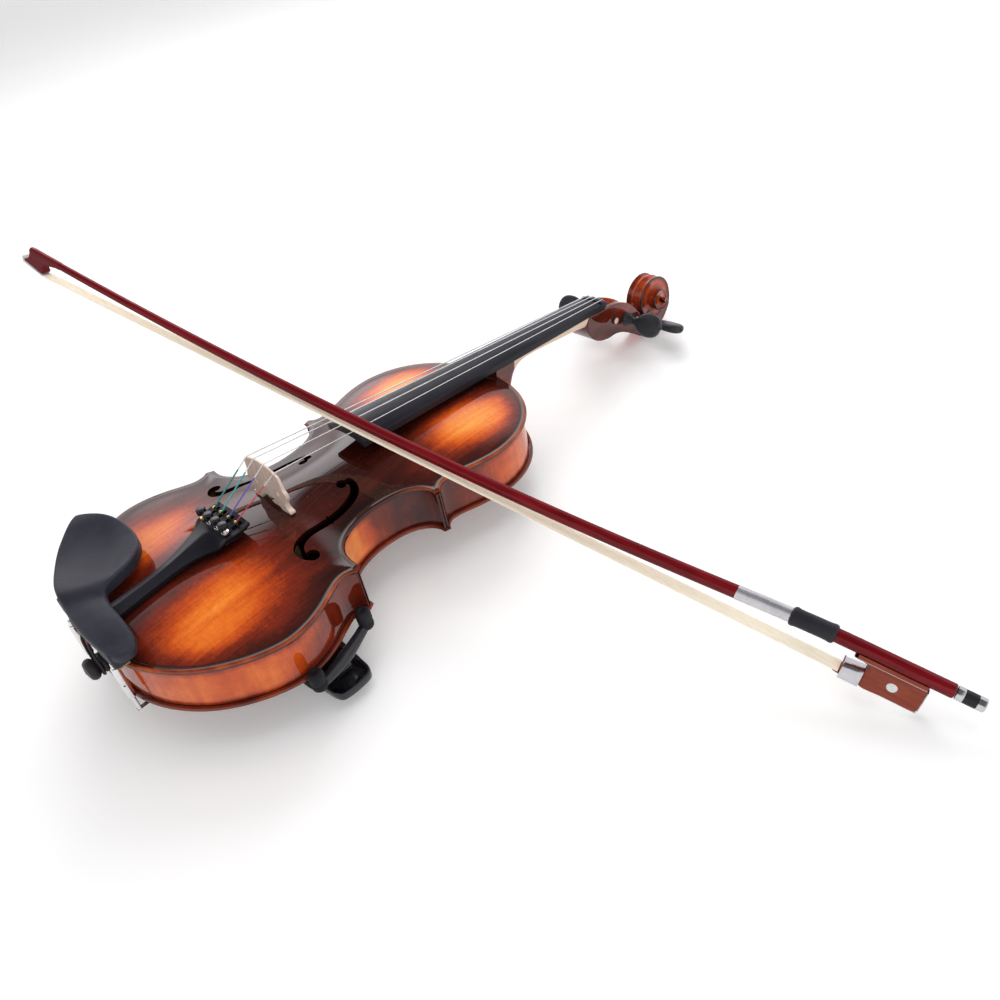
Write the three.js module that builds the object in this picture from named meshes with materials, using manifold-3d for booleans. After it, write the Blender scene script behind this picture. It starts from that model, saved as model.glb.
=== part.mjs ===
// Full-size violin with fitted chin rest and shoulder rest, and its bow lying across the strings.
// Millimetres, +Z up, +Y from the tail of the body to the scroll, +X to the treble side.
// Origin: centre of the flat underside of the shoulder-rest pad, the face the instrument stands on.
import * as THREE from 'three';
import { mergeVertices } from 'three/addons/utils/BufferGeometryUtils.js';
import { ParametricGeometry } from 'three/addons/geometries/ParametricGeometry.js';
import Module from 'manifold-3d';

const wasm = await Module();
wasm.setup();

// ---------------------------------------------------------------- driving dimensions
// In the violin's own frame y runs from the tail edge and z from the rib line, under the top plate.
const GAP = 0.3;                  // working gap between separate pieces
const GLUE = 0.1;                 // glue line between flat faces
const BODY_LENGTH = 355;          // tail edge to neck edge of the plates
const CORNER_LOW = 144.8;         // lower corner tips, from the tail edge
const CORNER_UP = 226.6;          // upper corner tips
const EDGE_THICK = 4;             // plate edge
const PLATE_THICK = 3;            // plate inside the edge
const TOP_ARCH = 15.5;            // crown of the top above the rib line
const BACK_ARCH = 15;             // crown of the back below its inner edge
const RIB_HEIGHT = 31;
const RIB_THICK = 1.5;
const OVERHANG = 3;               // plates stand this far outside the ribs
const RIB_TOP = -GLUE;
const RIB_BOTTOM = -RIB_HEIGHT + GLUE;
const END_BUTTON_Z = -15;
const SADDLE_HALF = 18;
const SADDLE_DEPTH = 8;
const BRIDGE_X = 1.5;
const BRIDGE_Y = 145.9;
const BRIDGE_TOP = 50.5;
const BRIDGE_THICK = 3.6;
const NUT_Y = 485;
const STAND = 67;                 // rib line above the floor, over the shoulder rest
const TILT = 0.0152;              // radians the instrument leans down towards the scroll
const ORIGIN_Y = 103;             // shoulder-rest centre from the tail edge

// y and z of each peg's axis, the side its head is on, and its turn about that axis
const PEGS = {
  g: { y: 498.5, z: -19.5, side: -1, turn: 0.93 },
  e: { y: 511.5, z: -24, side: 1, turn: 0.93 },
  d: { y: 526.5, z: -32.5, side: -1, turn: -0.64 },
  a: { y: 541, z: -40.5, side: 1, turn: -0.4 },
};
// x of each string at its four supports; at the bridge it is taken from the bridge's centre
const STRINGS = {
  g: { tailX: -13.6, bridgeX: -16.6, nutX: -8.2, pegX: -1.8, radius: 0.42 },
  d: { tailX: -4.7, bridgeX: -5.7, nutX: -2.75, pegX: -3.2, radius: 0.4 },
  a: { tailX: 4.7, bridgeX: 5.7, nutX: 2.75, pegX: 3, radius: 0.35 },
  e: { tailX: 13.6, bridgeX: 16.6, nutX: 8.2, pegX: 1.8, radius: 0.3 },
};
const SIDES = [['treble', 1], ['bass', -1]];

// ---------------------------------------------------------------- materials
const SPRUCE = { color: 0x8a2f10, roughness: 0.14 };
const MAPLE = { color: 0x6e2410, roughness: 0.16 };
const LINDEN = { color: 0xd8b98c, roughness: 0.8 };
const BLACK = { color: 0x1d1e21, roughness: 0.45 };
const STEEL = { color: 0xb9bcc0, roughness: 0.22, metalness: 0.95 };

// ---------------------------------------------------------------- solids
const vec = (x, y, z) => new THREE.Vector3(x, y, z);

// welded copy without empty triangles, its faces turned outward
function tidy(source) {
  let geometry = source.clone();
  geometry.deleteAttribute('normal');
  geometry.deleteAttribute('uv');
  geometry = mergeVertices(geometry, 1e-4);
  const position = geometry.attributes.position;
  const index = geometry.index.array;
  const kept = [];
  const a = vec(0, 0, 0), b = vec(0, 0, 0), c = vec(0, 0, 0);
  let volume = 0;
  for (let i = 0; i < index.length; i += 3) {
    const [ia, ib, ic] = [index[i], index[i + 1], index[i + 2]];
    if (ia === ib || ib === ic || ia === ic) continue;
    kept.push(ia, ib, ic);
    a.fromBufferAttribute(position, ia);
    b.fromBufferAttribute(position, ib);
    c.fromBufferAttribute(position, ic);
    volume += a.dot(b.cross(c));
  }
  if (volume < 0) {
    for (let i = 0; i < kept.length; i += 3) {
      [kept[i + 1], kept[i + 2]] = [kept[i + 2], kept[i + 1]];
    }
  }
  geometry.setIndex(kept);
  return geometry;
}
function solid(source) {
  const geometry = tidy(source);
  return new wasm.Manifold(new wasm.Mesh({
    numProp: 3,
    vertProperties: Float32Array.from(geometry.attributes.position.array),
    triVerts: Uint32Array.from(geometry.index.array),
  }));
}
function geometryOf(body) {
  const mesh = body.getMesh();
  const points = Float32Array.from(mesh.vertProperties);
  const geometry = new THREE.BufferGeometry();
  geometry.setAttribute('position', new THREE.BufferAttribute(points, 3));
  geometry.setIndex(new THREE.BufferAttribute(Uint32Array.from(mesh.triVerts), 1));
  return geometry;
}
const union = (parts) => parts.map((part) => solid(part)).reduce((sum, part) => sum.add(part));
const join = (...parts) => geometryOf(union(parts));
const cut = (body, ...tools) => geometryOf(
  tools.map((tool) => solid(tool)).reduce((left, tool) => left.subtract(tool), solid(body)));
const common = (one, other) => geometryOf(solid(one).intersect(solid(other)));

// ---------------------------------------------------------------- shapes
const toVectors = (points) => points.map(([x, y]) => new THREE.Vector2(x, y));
function shapeOf(points, holes = []) {
  const shape = new THREE.Shape(toVectors(points));
  for (const hole of holes) shape.holes.push(new THREE.Path(toVectors(hole)));
  return shape;
}
const extrude = (points, depth, holes) => new THREE.ExtrudeGeometry(
  shapeOf(points, holes), { depth, bevelEnabled: false, steps: 1 });
// polygon in plan, extruded in height
const prismZ = (points, z0, z1) => extrude(points, z1 - z0).translate(0, 0, z0);
// polygon in (y, z), extruded across x
function prismX(points, x0, x1) {
  const axes = new THREE.Matrix4().makeBasis(vec(0, 1, 0), vec(0, 0, 1), vec(1, 0, 0));
  return extrude(points, x1 - x0).applyMatrix4(axes).translate(x0, 0, 0);
}
// polygon in (x, z), extruded along y
function prismY(points, y0, y1, holes) {
  const axes = new THREE.Matrix4().makeBasis(vec(1, 0, 0), vec(0, 0, 1), vec(0, -1, 0));
  return extrude(points, y1 - y0, holes).applyMatrix4(axes).translate(0, y1, 0);
}
const block = (x0, x1, y0, y1, z0, z1) => new THREE.BoxGeometry(x1 - x0, y1 - y0, z1 - z0)
  .translate((x0 + x1) / 2, (y0 + y1) / 2, (z0 + z1) / 2);
const turnUpTo = (direction) => new THREE.Quaternion().setFromUnitVectors(vec(0, 1, 0), direction);
function rod(start, end, radius, sides = 12, endRadius = radius) {
  const a = vec(...start), b = vec(...end);
  const run = b.clone().sub(a);
  const geometry = new THREE.CylinderGeometry(endRadius, radius, run.length(), sides, 1);
  geometry.applyQuaternion(turnUpTo(run.normalize()));
  return geometry.translate((a.x + b.x) / 2, (a.y + b.y) / 2, (a.z + b.z) / 2);
}
const rodZ = (x, y, z0, z1, radius, sides, endRadius) =>
  rod([x, y, z0], [x, y, z1], radius, sides, endRadius);
// polygon on a circle or ellipse
const circle = (cx, cy, radius, sides, radiusY = radius) => Array.from({ length: sides }, (_, i) => {
  const angle = (i / sides) * 2 * Math.PI;
  return [cx + radius * Math.cos(angle), cy + radiusY * Math.sin(angle)];
});
// closed skin through equal rings of points, its ends closed to their middles
function loft(rings) {
  const sides = rings[0].length, count = rings.length;
  const middle = (ring) => ring.reduce((sum, point) => sum.add(point), vec(0, 0, 0))
    .divideScalar(ring.length);
  const first = middle(rings[0]), last = middle(rings[count - 1]);
  return new ParametricGeometry((u, v, target) => {
    const row = Math.round(v * (count + 1)), column = Math.round(u * sides) % sides;
    target.copy(row === 0 ? first : row === count + 1 ? last : rings[row - 1][column]);
  }, sides, count + 1);
}
// round or oval bar through a list of points, with one radius for each
function bar(stops, radii, sides, flat = 1) {
  const points = stops.map((stop) => vec(...stop));
  const step = (k) => points[k + 1].clone().sub(points[k]).normalize();
  return loft(points.map((point, k) => {
    const along = vec(0, 0, 0);
    if (k > 0) along.add(step(k - 1));
    if (k < points.length - 1) along.add(step(k));
    along.normalize();
    const aside = vec(0, 0, 0).crossVectors(along, vec(0, 0, 1)).normalize();
    const above = vec(0, 0, 0).crossVectors(aside, along);
    return circle(0, 0, radii[k], sides, radii[k] * flat)
      .map(([a, b]) => point.clone().addScaledVector(aside, a).addScaledVector(above, b));
  }));
}
// values in a table of ys at xs, held constant beyond its ends
function interpolate(x, xs, ys) {
  if (x <= xs[0]) return ys[0];
  for (let i = 1; i < xs.length; i++) {
    if (x <= xs[i]) {
      return ys[i - 1] + (ys[i] - ys[i - 1]) * (x - xs[i - 1]) / (xs[i] - xs[i - 1]);
    }
  }
  return ys[ys.length - 1];
}
const between = (p, q, t) => [p[0] + (q[0] - p[0]) * t, p[1] + (q[1] - p[1]) * t];
const onSide = (points, side) => points.map(([x, y]) => [x * side, y]);
// evenly spaced values from +half down to -half
const spread = (half, count) =>
  Array.from({ length: count + 1 }, (_, i) => half * (1 - 2 * i / count));
function smooth(points, divisions) {
  const knots = points.map(([x, y]) => vec(x, y, 0));
  const curve = new THREE.CatmullRomCurve3(knots, false, 'centripetal');
  return curve.getSpacedPoints(divisions).map((point) => [point.x, point.y]);
}
const smoothLoop = (points, divisions) => smooth([...points, points[0]], divisions).slice(0, -1);

// ---------------------------------------------------------------- groups
const whole = new THREE.Group();
// turns about the shoulder rest
const leaning = new THREE.Group();
leaning.position.set(0, 0, STAND);
leaning.rotation.x = -TILT;
const instrument = new THREE.Group();
instrument.position.set(0, -ORIGIN_Y, 0);
// the shoulder rest stands level
const rest = new THREE.Group();
rest.position.set(0, -ORIGIN_Y, STAND);
const bow = new THREE.Group();
whole.add(leaning, rest);
leaning.add(instrument);
instrument.add(bow);

function add(name, source, finish, parent = instrument) {
  const geometry = tidy(source);
  geometry.computeVertexNormals();
  const mesh = new THREE.Mesh(geometry, new THREE.MeshStandardMaterial(finish));
  mesh.name = name;
  parent.add(mesh);
  return mesh;
}

// ---------------------------------------------------------------- outline of the body
// [x, y] of the treble half as drawn, from the tail edge up to the neck edge
const LOWER_BOUT = [
  [0, 0], [14, 0.4], [30, 2.6], [46, 7.6], [62, 16], [77, 28], [89.5, 43.5], [98.5, 60],
  [103, 76], [102.6, 91], [98.2, 106], [92.6, 117.5], [89.3, 126], [89.6, 132], [92.6, 137],
];
const WAIST = [
  [90, 142], [83, 141.6], [74.5, 143], [66.5, 147.6], [60.3, 155.6], [56.6, 166], [55, 178],
  [55.2, 190], [57, 201], [61, 210], [67.2, 216.2], [74.4, 218.9], [79, 219],
];
const UPPER_BOUT = [
  [80.6, 224], [76.2, 227.6], [74, 233], [74.6, 240], [77.6, 250], [81, 262], [83.4, 275],
  [83.9, 288], [81.6, 302], [76.4, 315.5], [68, 328], [56.4, 339], [42.5, 347.4], [28, 352.6],
  [14, 355], [0, 355.5],
];
// the drawn outline is widened by bout, and stretched to the corner heights and body length
const WIDEN = { lower: 1.045, middle: 0.98, upper: 1.003 };
const WIDEN_Y = [0, 75, 139.5, 180, 221, 288, 355.5];
const WIDEN_BY = [
  WIDEN.lower, WIDEN.lower, (WIDEN.lower + WIDEN.middle) / 2, WIDEN.middle,
  (WIDEN.middle + WIDEN.upper) / 2, WIDEN.upper, WIDEN.upper,
];
const DRAWN_Y = [0, 139.5, 221, 355.5];
const BODY_Y = [0, CORNER_LOW, CORNER_UP, BODY_LENGTH];
const toBody = ([x, y]) => [x * interpolate(y, WIDEN_Y, WIDEN_BY), interpolate(y, DRAWN_Y, BODY_Y)];

const lowerRun = smooth(LOWER_BOUT.map(toBody), 15);
const waistRun = smooth(WAIST.map(toBody), 9);
const upperRun = smooth(UPPER_BOUT.map(toBody), 13);
lowerRun[0] = [0, 0];
upperRun[upperRun.length - 1] = [0, BODY_LENGTH];
const halfOutline = [...lowerRun, ...waistRun, ...upperRun];
const withMirror = (half) => [...half, ...onSide(half.slice(1, -1).reverse(), -1)];
const outline = withMirror(halfOutline);

// half outline moved inward, keeping one point for each outline point
const MITRE_LIMIT = 1.9;
function inset(distance) {
  const last = halfOutline.length - 1;
  const normal = (p, q) => {
    const length = Math.hypot(q[0] - p[0], q[1] - p[1]);
    return [-(q[1] - p[1]) / length, (q[0] - p[0]) / length];
  };
  const moved = halfOutline.map((point, i) => {
    const [before] = i === 0 ? onSide([halfOutline[1]], -1) : [halfOutline[i - 1]];
    const [after] = i === last ? onSide([halfOutline[i - 1]], -1) : [halfOutline[i + 1]];
    const n0 = normal(before, point), n1 = normal(point, after);
    const sum = [n0[0] + n1[0], n0[1] + n1[1]];
    const reach = Math.min(MITRE_LIMIT, 2 / (sum[0] * sum[0] + sum[1] * sum[1])) * distance;
    return [point[0] + sum[0] * reach, point[1] + sum[1] * reach];
  });
  moved[0][0] = 0;
  moved[last][0] = 0;
  return moved;
}

// ---------------------------------------------------------------- arched plates
// Each outline point is joined to a spine on the centre line; t runs 0 at the edge to 1 at the spine.
const SPINE_START = 26;
const SPINE_END = 326;
const CROWN_BASE = 0.34 * EDGE_THICK;
const spineOf = (point) => [0, Math.min(SPINE_END, Math.max(SPINE_START, point[1]))];
function crown(y, arch) {
  const rise = Math.sin(Math.PI * (0.11 + 0.78 * (y - 10) / 335));
  return CROWN_BASE + (arch - CROWN_BASE) * Math.pow(rise, 0.75);
}
// share of the rise reached at t: a shallow channel by the edge, then the arch
function flank(t) {
  const channel = t < 0.22 ? -0.055 * Math.sin(Math.PI * t / 0.22) : 0;
  return channel + (t < 0.1 ? 0 : Math.pow(Math.sin((Math.PI / 2) * (t - 0.1) / 0.9), 1.25));
}
const outerHeight = (t, y, arch) => EDGE_THICK + (crown(y, arch) - EDGE_THICK) * flank(t);

// t of each row: over the outer face from spine to edge, then back over the inner face
const OUTER_ROWS = [1, 0.68, 0.38, 0.16, 0];
const INNER_ROWS = [0, 0.15, 0.38, 0.68, 1];
const FLAT_MARGIN = 0.16;         // inner face is flat out to this t
function archedPlate(arch, up) {
  const rows = [...OUTER_ROWS, ...INNER_ROWS];
  const innerHeight = (t, y) =>
    (t < FLAT_MARGIN ? 0 : Math.max(0.02, outerHeight(t, y, arch) - PLATE_THICK));
  return new ParametricGeometry((u, v, target) => {
    const row = Math.round(v * (rows.length - 1)), t = rows[row];
    const edge = outline[Math.round(u * outline.length) % outline.length];
    const spine = spineOf(edge);
    const [x, y] = between(edge, spine, t);
    const outside = row < OUTER_ROWS.length;
    const z = outside ? outerHeight(t, spine[1], arch) : innerHeight(t, spine[1]);
    target.set(x, y, up ? z : -z);
  }, outline.length, rows.length - 1);
}
// height of the outer face at a plan position, from the nearest edge-to-spine line
const EDGE_SPLITS = 8;
function archAt(x, y, arch) {
  const px = Math.abs(x);
  let nearest = Infinity, height = EDGE_THICK;
  for (let i = 0; i < halfOutline.length - 1; i++) {
    for (let k = 0; k < EDGE_SPLITS; k++) {
      const edge = between(halfOutline[i], halfOutline[i + 1], k / EDGE_SPLITS);
      const spine = spineOf(edge), run = [spine[0] - edge[0], spine[1] - edge[1]];
      const foot = ((px - edge[0]) * run[0] + (y - edge[1]) * run[1])
        / (run[0] * run[0] + run[1] * run[1]);
      const t = Math.min(1, Math.max(0, foot));
      const distance = Math.hypot(edge[0] + run[0] * t - px, edge[1] + run[1] * t - y);
      if (distance < nearest) {
        nearest = distance;
        height = outerHeight(t, spine[1], arch);
      }
    }
  }
  return height;
}

// stem of the treble sound hole, [x, y]
const STEM = [
  [21.5, 193.4], [27, 192.6], [31.8, 188], [35, 180], [37.2, 170], [39.8, 160], [42.2, 150],
  [44.6, 140], [48.4, 131.5], [54, 127.4], [60.5, 127.6], [60.2, 129.8], [55.6, 132.6],
  [52.6, 138.6], [50.8, 147], [48, 158], [44.8, 169], [42, 180], [38.2, 191], [31.8, 197.2],
  [24.5, 197.8],
];
const NICK = [[37.4, 162.4], [39.8, 161.6], [40.2, 159], [37.8, 158.6]];
function soundHole(side) {
  const [z0, z1] = [-8, 30];
  return union([
    prismZ(onSide(STEM, side), z0, z1),
    rodZ(22.5 * side, 188, z0, z1, 3.3),
    rodZ(60 * side, 132.2, z0, z1, 4.8),
    prismZ(onSide(NICK, side), z0, z1),
  ]);
}
function topPlate() {
  const saddleHalf = SADDLE_HALF + GAP;
  const saddleNotch = block(-saddleHalf, saddleHalf, -5, SADDLE_DEPTH + GAP, -2, 10);
  const neckNotch = block(-17.3, 17.3, 350.4, 360, -2, 12);
  return geometryOf(solid(archedPlate(TOP_ARCH, true))
    .subtract(solid(saddleNotch)).subtract(solid(neckNotch))
    .subtract(soundHole(1)).subtract(soundHole(-1)));
}
add('top_plate', topPlate(), SPRUCE);

// back, with the half-round button under the neck root
function backPlate() {
  const button = Array.from({ length: 13 }, (_, i) => {
    const angle = Math.PI * i / 12;
    return [11.2 * Math.cos(angle), 350 + 14.5 * Math.sin(angle)];
  });
  return join(archedPlate(BACK_ARCH, false), prismZ(button, -EDGE_THICK, 0))
    .translate(0, 0, -RIB_HEIGHT);
}
add('back_plate', backPlate(), MAPLE);

// ---------------------------------------------------------------- ribs: six bent strips
const ribOuter = inset(OVERHANG);
const ribInner = inset(OVERHANG + RIB_THICK);
function rib(side, first, last, trimFirst, trimLast) {
  const trimmed = (line) => {
    const run = line.slice(first, last + 1);
    return [trimFirst(run[0], run[1]), ...run.slice(1, -1), trimLast(run.at(-1), run.at(-2))];
  };
  const loop = [...trimmed(ribOuter), ...trimmed(ribInner).reverse()];
  return prismZ(onSide(loop, side), RIB_BOTTOM, RIB_TOP);
}
// trims: an end point and its neighbour give the new end point
const shorten = (distance) => (end, next) =>
  between(end, next, distance / Math.hypot(next[0] - end[0], next[1] - end[1]));
const toCentre = (end) => [GAP / 2, end[1]];
const NECK_SIDE_X = 17.6;         // the upper ribs stop at the sides of the neck root
const toNeck = (end, next) => between(end, next, (NECK_SIDE_X - end[0]) / (next[0] - end[0]));

const waistStart = lowerRun.length;
const upperStart = waistStart + waistRun.length;
const upperStop = halfOutline.findIndex(([x], i) => i > upperStart + 3 && x < 21);
for (const [name, side] of SIDES) {
  const lower = rib(side, 0, waistStart - 1, toCentre, shorten(GAP));
  // the end button passes between the two lower ribs
  const buttonHole = rod([0, -5, END_BUTTON_Z], [0, 20, END_BUTTON_Z], 4.4);
  add(`rib_lower_${name}`, cut(lower, buttonHole), MAPLE);
  const waist = rib(side, waistStart, upperStart - 1, shorten(1.2), shorten(1.2));
  add(`rib_waist_${name}`, waist, MAPLE);
  add(`rib_upper_${name}`, rib(side, upperStart, upperStop, shorten(GAP), toNeck), MAPLE);
}

// ---------------------------------------------------------------- inner blocks, bar and post
const inside = prismZ(withMirror(inset(OVERHANG + RIB_THICK + GAP)), RIB_BOTTOM, RIB_TOP);
const endBlock = common(inside, block(-26, 26, 0, 20, -40, 5));
const endBlockHole = rod([0, -2, END_BUTTON_Z], [0, 30, END_BUTTON_Z], 4.3);
add('end_block', cut(endBlock, endBlockHole), LINDEN);
add('neck_block', common(inside, block(-26, 26, 333, 350, -40, 5)), LINDEN);

// [x, y] of the treble corner blocks, before they are cut to the ribs
const CORNER_BLOCKS = {
  lower: [[74, 146], [84, 126], [110, 126], [110, 160], [74, 160]],
  upper: [[60, 224], [60, 206], [92, 206], [92, 244], [72, 244]],
};
for (const [name, side] of SIDES) {
  for (const [level, plan] of Object.entries(CORNER_BLOCKS)) {
    const piece = common(inside, prismZ(onSide(plan, side), -40, 5));
    add(`corner_block_${level}_${name}`, piece, LINDEN);
  }
}

// glued under the top on the bass side, its upper edge following the inside of the arch
function bassBar() {
  const centreX = -15.5, upperEdge = [], lowerEdge = [];
  for (let i = 0; i <= 10; i++) {
    const y = 48 + 27 * i;
    const arch = Math.min(...[-2.8, 2.8].map((dx) => archAt(centreX + dx, y, TOP_ARCH)));
    const z = arch - PLATE_THICK - 0.5;
    upperEdge.push([y, z]);
    lowerEdge.push([y, z - 4 - 7 * Math.sin(Math.PI * i / 10)]);
  }
  return prismX([...lowerEdge, ...upperEdge.reverse()], centreX - 2.7, centreX + 2.7);
}
add('bass_bar', bassBar(), LINDEN);

function soundPost() {
  const x = 17.5, y = BRIDGE_Y - 6;
  const reach = (arch) =>
    Math.min(...[0, -3, 3].map((dy) => archAt(x + 3, y + dy, arch))) - PLATE_THICK - 0.45;
  return rodZ(x, y, -RIB_HEIGHT - reach(BACK_ARCH), reach(TOP_ARCH), 3.1, 10);
}
add('sound_post', soundPost(), LINDEN);

// ---------------------------------------------------------------- fingerboard surfaces
const BOARD_END_Y = 215;
const BOARD_NUT_W = 24;
const BOARD_END_W = 42.6;
const BOARD_RADIUS = 42;          // arc across the board, and across the bridge's top
const BOARD_SIDE = 5;             // height of the board's side at each end
const BOARD_SLOPE = -0.1185;
const BOARD_REF = { y: 160.5, z: 42.5 };   // point on the line of the board's crown
const boardHalf = (y) =>
  (BOARD_NUT_W + (BOARD_END_W - BOARD_NUT_W) * (NUT_Y - y) / (NUT_Y - BOARD_END_Y)) / 2;
const arcDrop = (x) => BOARD_RADIUS - Math.sqrt(BOARD_RADIUS * BOARD_RADIUS - x * x);
const boardTop = (y) => BOARD_REF.z + BOARD_SLOPE * (y - BOARD_REF.y);
const BOARD_UNDER_ENDS = [BOARD_END_Y, NUT_Y]
  .map((y) => boardTop(y) - arcDrop(boardHalf(y)) - BOARD_SIDE);
function boardUnder(y) {
  const [z0, z1] = BOARD_UNDER_ENDS;
  return z0 + (z1 - z0) * (y - BOARD_END_Y) / (NUT_Y - BOARD_END_Y);
}

// ---------------------------------------------------------------- neck, pegbox and scroll
// y, z of the underside, narrowing towards it, and roundness power (2 is an ellipse)
const NECK_STATIONS = [
  [350.7, RIB_BOTTOM, 0.34, 5], [359, RIB_BOTTOM, 0.34, 5], [364.5, -27.5, 0.3, 4.4],
  [367.5, -17, 0.2, 3.6], [371.5, -7.5, 0.12, 3], [378, -0.6, 0.06, 2.5], [388, 1.6, 0.02, 2.3],
  [425, -4.4, 0, 2.2], [458, -10.6, 0, 2.2], [466, -13.2, 0, 2.3], [474, -20, 0, 2.6],
];
// D-shaped section, flat under the fingerboard
function neckRing([y, bottom, taper, power]) {
  const half = boardHalf(y) - 0.15, zTop = boardUnder(y) - 0.12;
  const ring = [[half, 0]];
  for (let i = 1; i < 9; i++) {
    const angle = Math.PI * i / 9, cosine = Math.cos(angle);
    const drop = Math.pow(Math.sin(angle), 2 / power);
    const aside = Math.sign(cosine) * Math.pow(Math.abs(cosine), 2 / power);
    ring.push([half * aside * (1 - taper * drop), drop]);
  }
  ring.push([-half, 0]);
  return ring.map(([x, drop]) => vec(x, y, zTop - (zTop - bottom) * drop));
}
// side view of the pegbox, [y, z]
const PEGBOX_SIDE = [
  [462.5, -6], [466, boardUnder(466) - 0.15], [485, boardUnder(485) - 0.15], [490.7, -3.5],
  [499.5, -4.6], [508, -7], [517, -11.6], [524, -16.6], [529, -21.6], [534, -28.4], [537, -34],
  [541, -38], [560, -30], [583, -31], [581.5, -42], [576.5, -50], [568, -56.4], [557, -59.6],
  [547, -60], [538, -57.2], [524, -47.1], [510.4, -38], [499, -33.6], [488, -32.5],
  [477, -29.3], [469.5, -24], [465.4, -17.5],
];
const PEGBOX_PLAN = [
  [-12.9, 455], [12.9, 455], [12.9, 492], [11.6, 515], [9.6, 540], [8.6, 600],
  [-8.6, 600], [-9.6, 540], [-11.6, 515], [-12.9, 492],
];
const CAVITY_SIDE = [
  [491, 5], [536.5, 5], [537.5, -30], [538.5, -36], [545.5, -41], [547.5, -47.5], [545, -51.5],
  [538, -51], [527, -42.5], [512, -32.5], [500, -28.2], [493.5, -25], [491, -21],
];
const CAVITY_PLAN = [[-7.7, 490], [7.7, 490], [6.7, 515], [4.9, 550], [-4.9, 550], [-6.7, 515]];
const SCROLL = { y: 560.5, z: -31 };
// radius, half width and side count of the stepped discs
const SCROLL_TURNS = [[22, 7.4, 24], [16.5, 12, 20], [10.5, 17, 16], [5.5, 21, 12]];
function neckAndHead() {
  const acrossAt = ({ y, z }, half, radius, sides) =>
    rod([-half, y, z], [half, y, z], radius, sides);
  const pegbox = common(prismX(PEGBOX_SIDE, -13, 13), prismZ(PEGBOX_PLAN, -80, 20));
  const turns = SCROLL_TURNS.map(([radius, half, sides]) => acrossAt(SCROLL, half, radius, sides));
  const cavity = common(prismX(CAVITY_SIDE, -8, 8), prismZ(CAVITY_PLAN, -80, 20));
  const pegHoles = Object.values(PEGS).map((peg) => acrossAt(peg, 20, 4.3, 14));
  return cut(join(loft(NECK_STATIONS.map(neckRing)), pegbox, ...turns), cavity, ...pegHoles);
}
add('neck_pegbox_scroll', neckAndHead(), { ...MAPLE, roughness: 0.18 });

// ---------------------------------------------------------------- fingerboard, nut and saddle
// arc on top, flat below, hollowed where it hangs over the top plate
function fingerboard() {
  const boardRing = (y) => {
    const half = boardHalf(y), under = boardUnder(y);
    const arc = spread(half, 8).map((x) => vec(x, y, boardTop(y) - arcDrop(x)));
    return [...arc, vec(-half, y, under), vec(half, y, under)];
  };
  // y, half width and half height of the hollow
  const hollow = loft([[214, 17, 5], [346, 11, 2.4]].map(([y, half, height]) =>
    circle(0, boardUnder(y) - 1, half, 8, height).map(([x, z]) => vec(x, y, z))));
  return cut(loft([boardRing(BOARD_END_Y), boardRing(NUT_Y - 0.2)]), hollow);
}
add('fingerboard', fingerboard(), { ...BLACK, roughness: 0.42 });

const NUT_HALF = 11.9;
const nutTop = (x) => boardTop(NUT_Y) + 0.9 - arcDrop(x) * 0.8;
const nutProfile = [
  ...spread(NUT_HALF, 8).map((x) => [x, nutTop(x)]), [-NUT_HALF, -2.5], [NUT_HALF, -2.5],
];
add('nut', prismY(nutProfile, NUT_Y + 0.1, NUT_Y + 5.4), { ...BLACK, roughness: 0.4 });
const saddleProfile = [
  [-0.6, 0], [SADDLE_DEPTH, 0], [SADDLE_DEPTH, 6.2], [5.6, 8.2], [2, 8.2], [-0.6, 6.4],
];
add('saddle', prismX(saddleProfile, -SADDLE_HALF, SADDLE_HALF), { ...BLACK, roughness: 0.4 });

// ---------------------------------------------------------------- tail fittings
// radius and distance outward from y = 6
const END_BUTTON = [
  [0, -17], [3.6, -17], [4, 5.2], [6.4, 5.6], [7.2, 6.6], [7.2, 8.4], [4.6, 9.6], [4.4, 10.6],
  [7.4, 13], [7.8, 15.5], [6.2, 18.2], [0, 19.4],
];
const endButton = new THREE.LatheGeometry(toVectors(END_BUTTON), 16)
  .applyQuaternion(turnUpTo(vec(0, -1, 0))).translate(0, 6, END_BUTTON_Z);
add('end_button', endButton, BLACK);

// treble half of the loop round the end button, [x, y, z], from its lowest point to the tailpiece
const GUT_LOW = [0, -4.15, -22.2];
const GUT_HALF = [
  [4.6, -4.15, -20.3], [6.5, -4.15, -14], [5.6, -4.1, -2], [4.8, -2.4, 7.6], [4.4, 4, 9.9],
  [4, 10, 9.7], [3.6, 22, 9.6],
];
function tailgut() {
  const bassHalf = GUT_HALF.map(([x, y, z]) => [-x, y, z]).reverse();
  const stops = [...bassHalf, GUT_LOW, ...GUT_HALF].map((stop) => vec(...stop));
  const extrudePath = new THREE.CatmullRomCurve3(stops, false, 'centripetal');
  const section = shapeOf(circle(0, 0, 1, 6));
  return new THREE.ExtrudeGeometry(section, { extrudePath, steps: 34, bevelEnabled: false });
}
add('tailgut', tailgut(), { ...BLACK, roughness: 0.5 });

const TAIL_START = { y: 9.5, z: 15 };
const TAIL_END = { y: 117, z: 28 };
const TAIL_THICK = 6;
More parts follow.
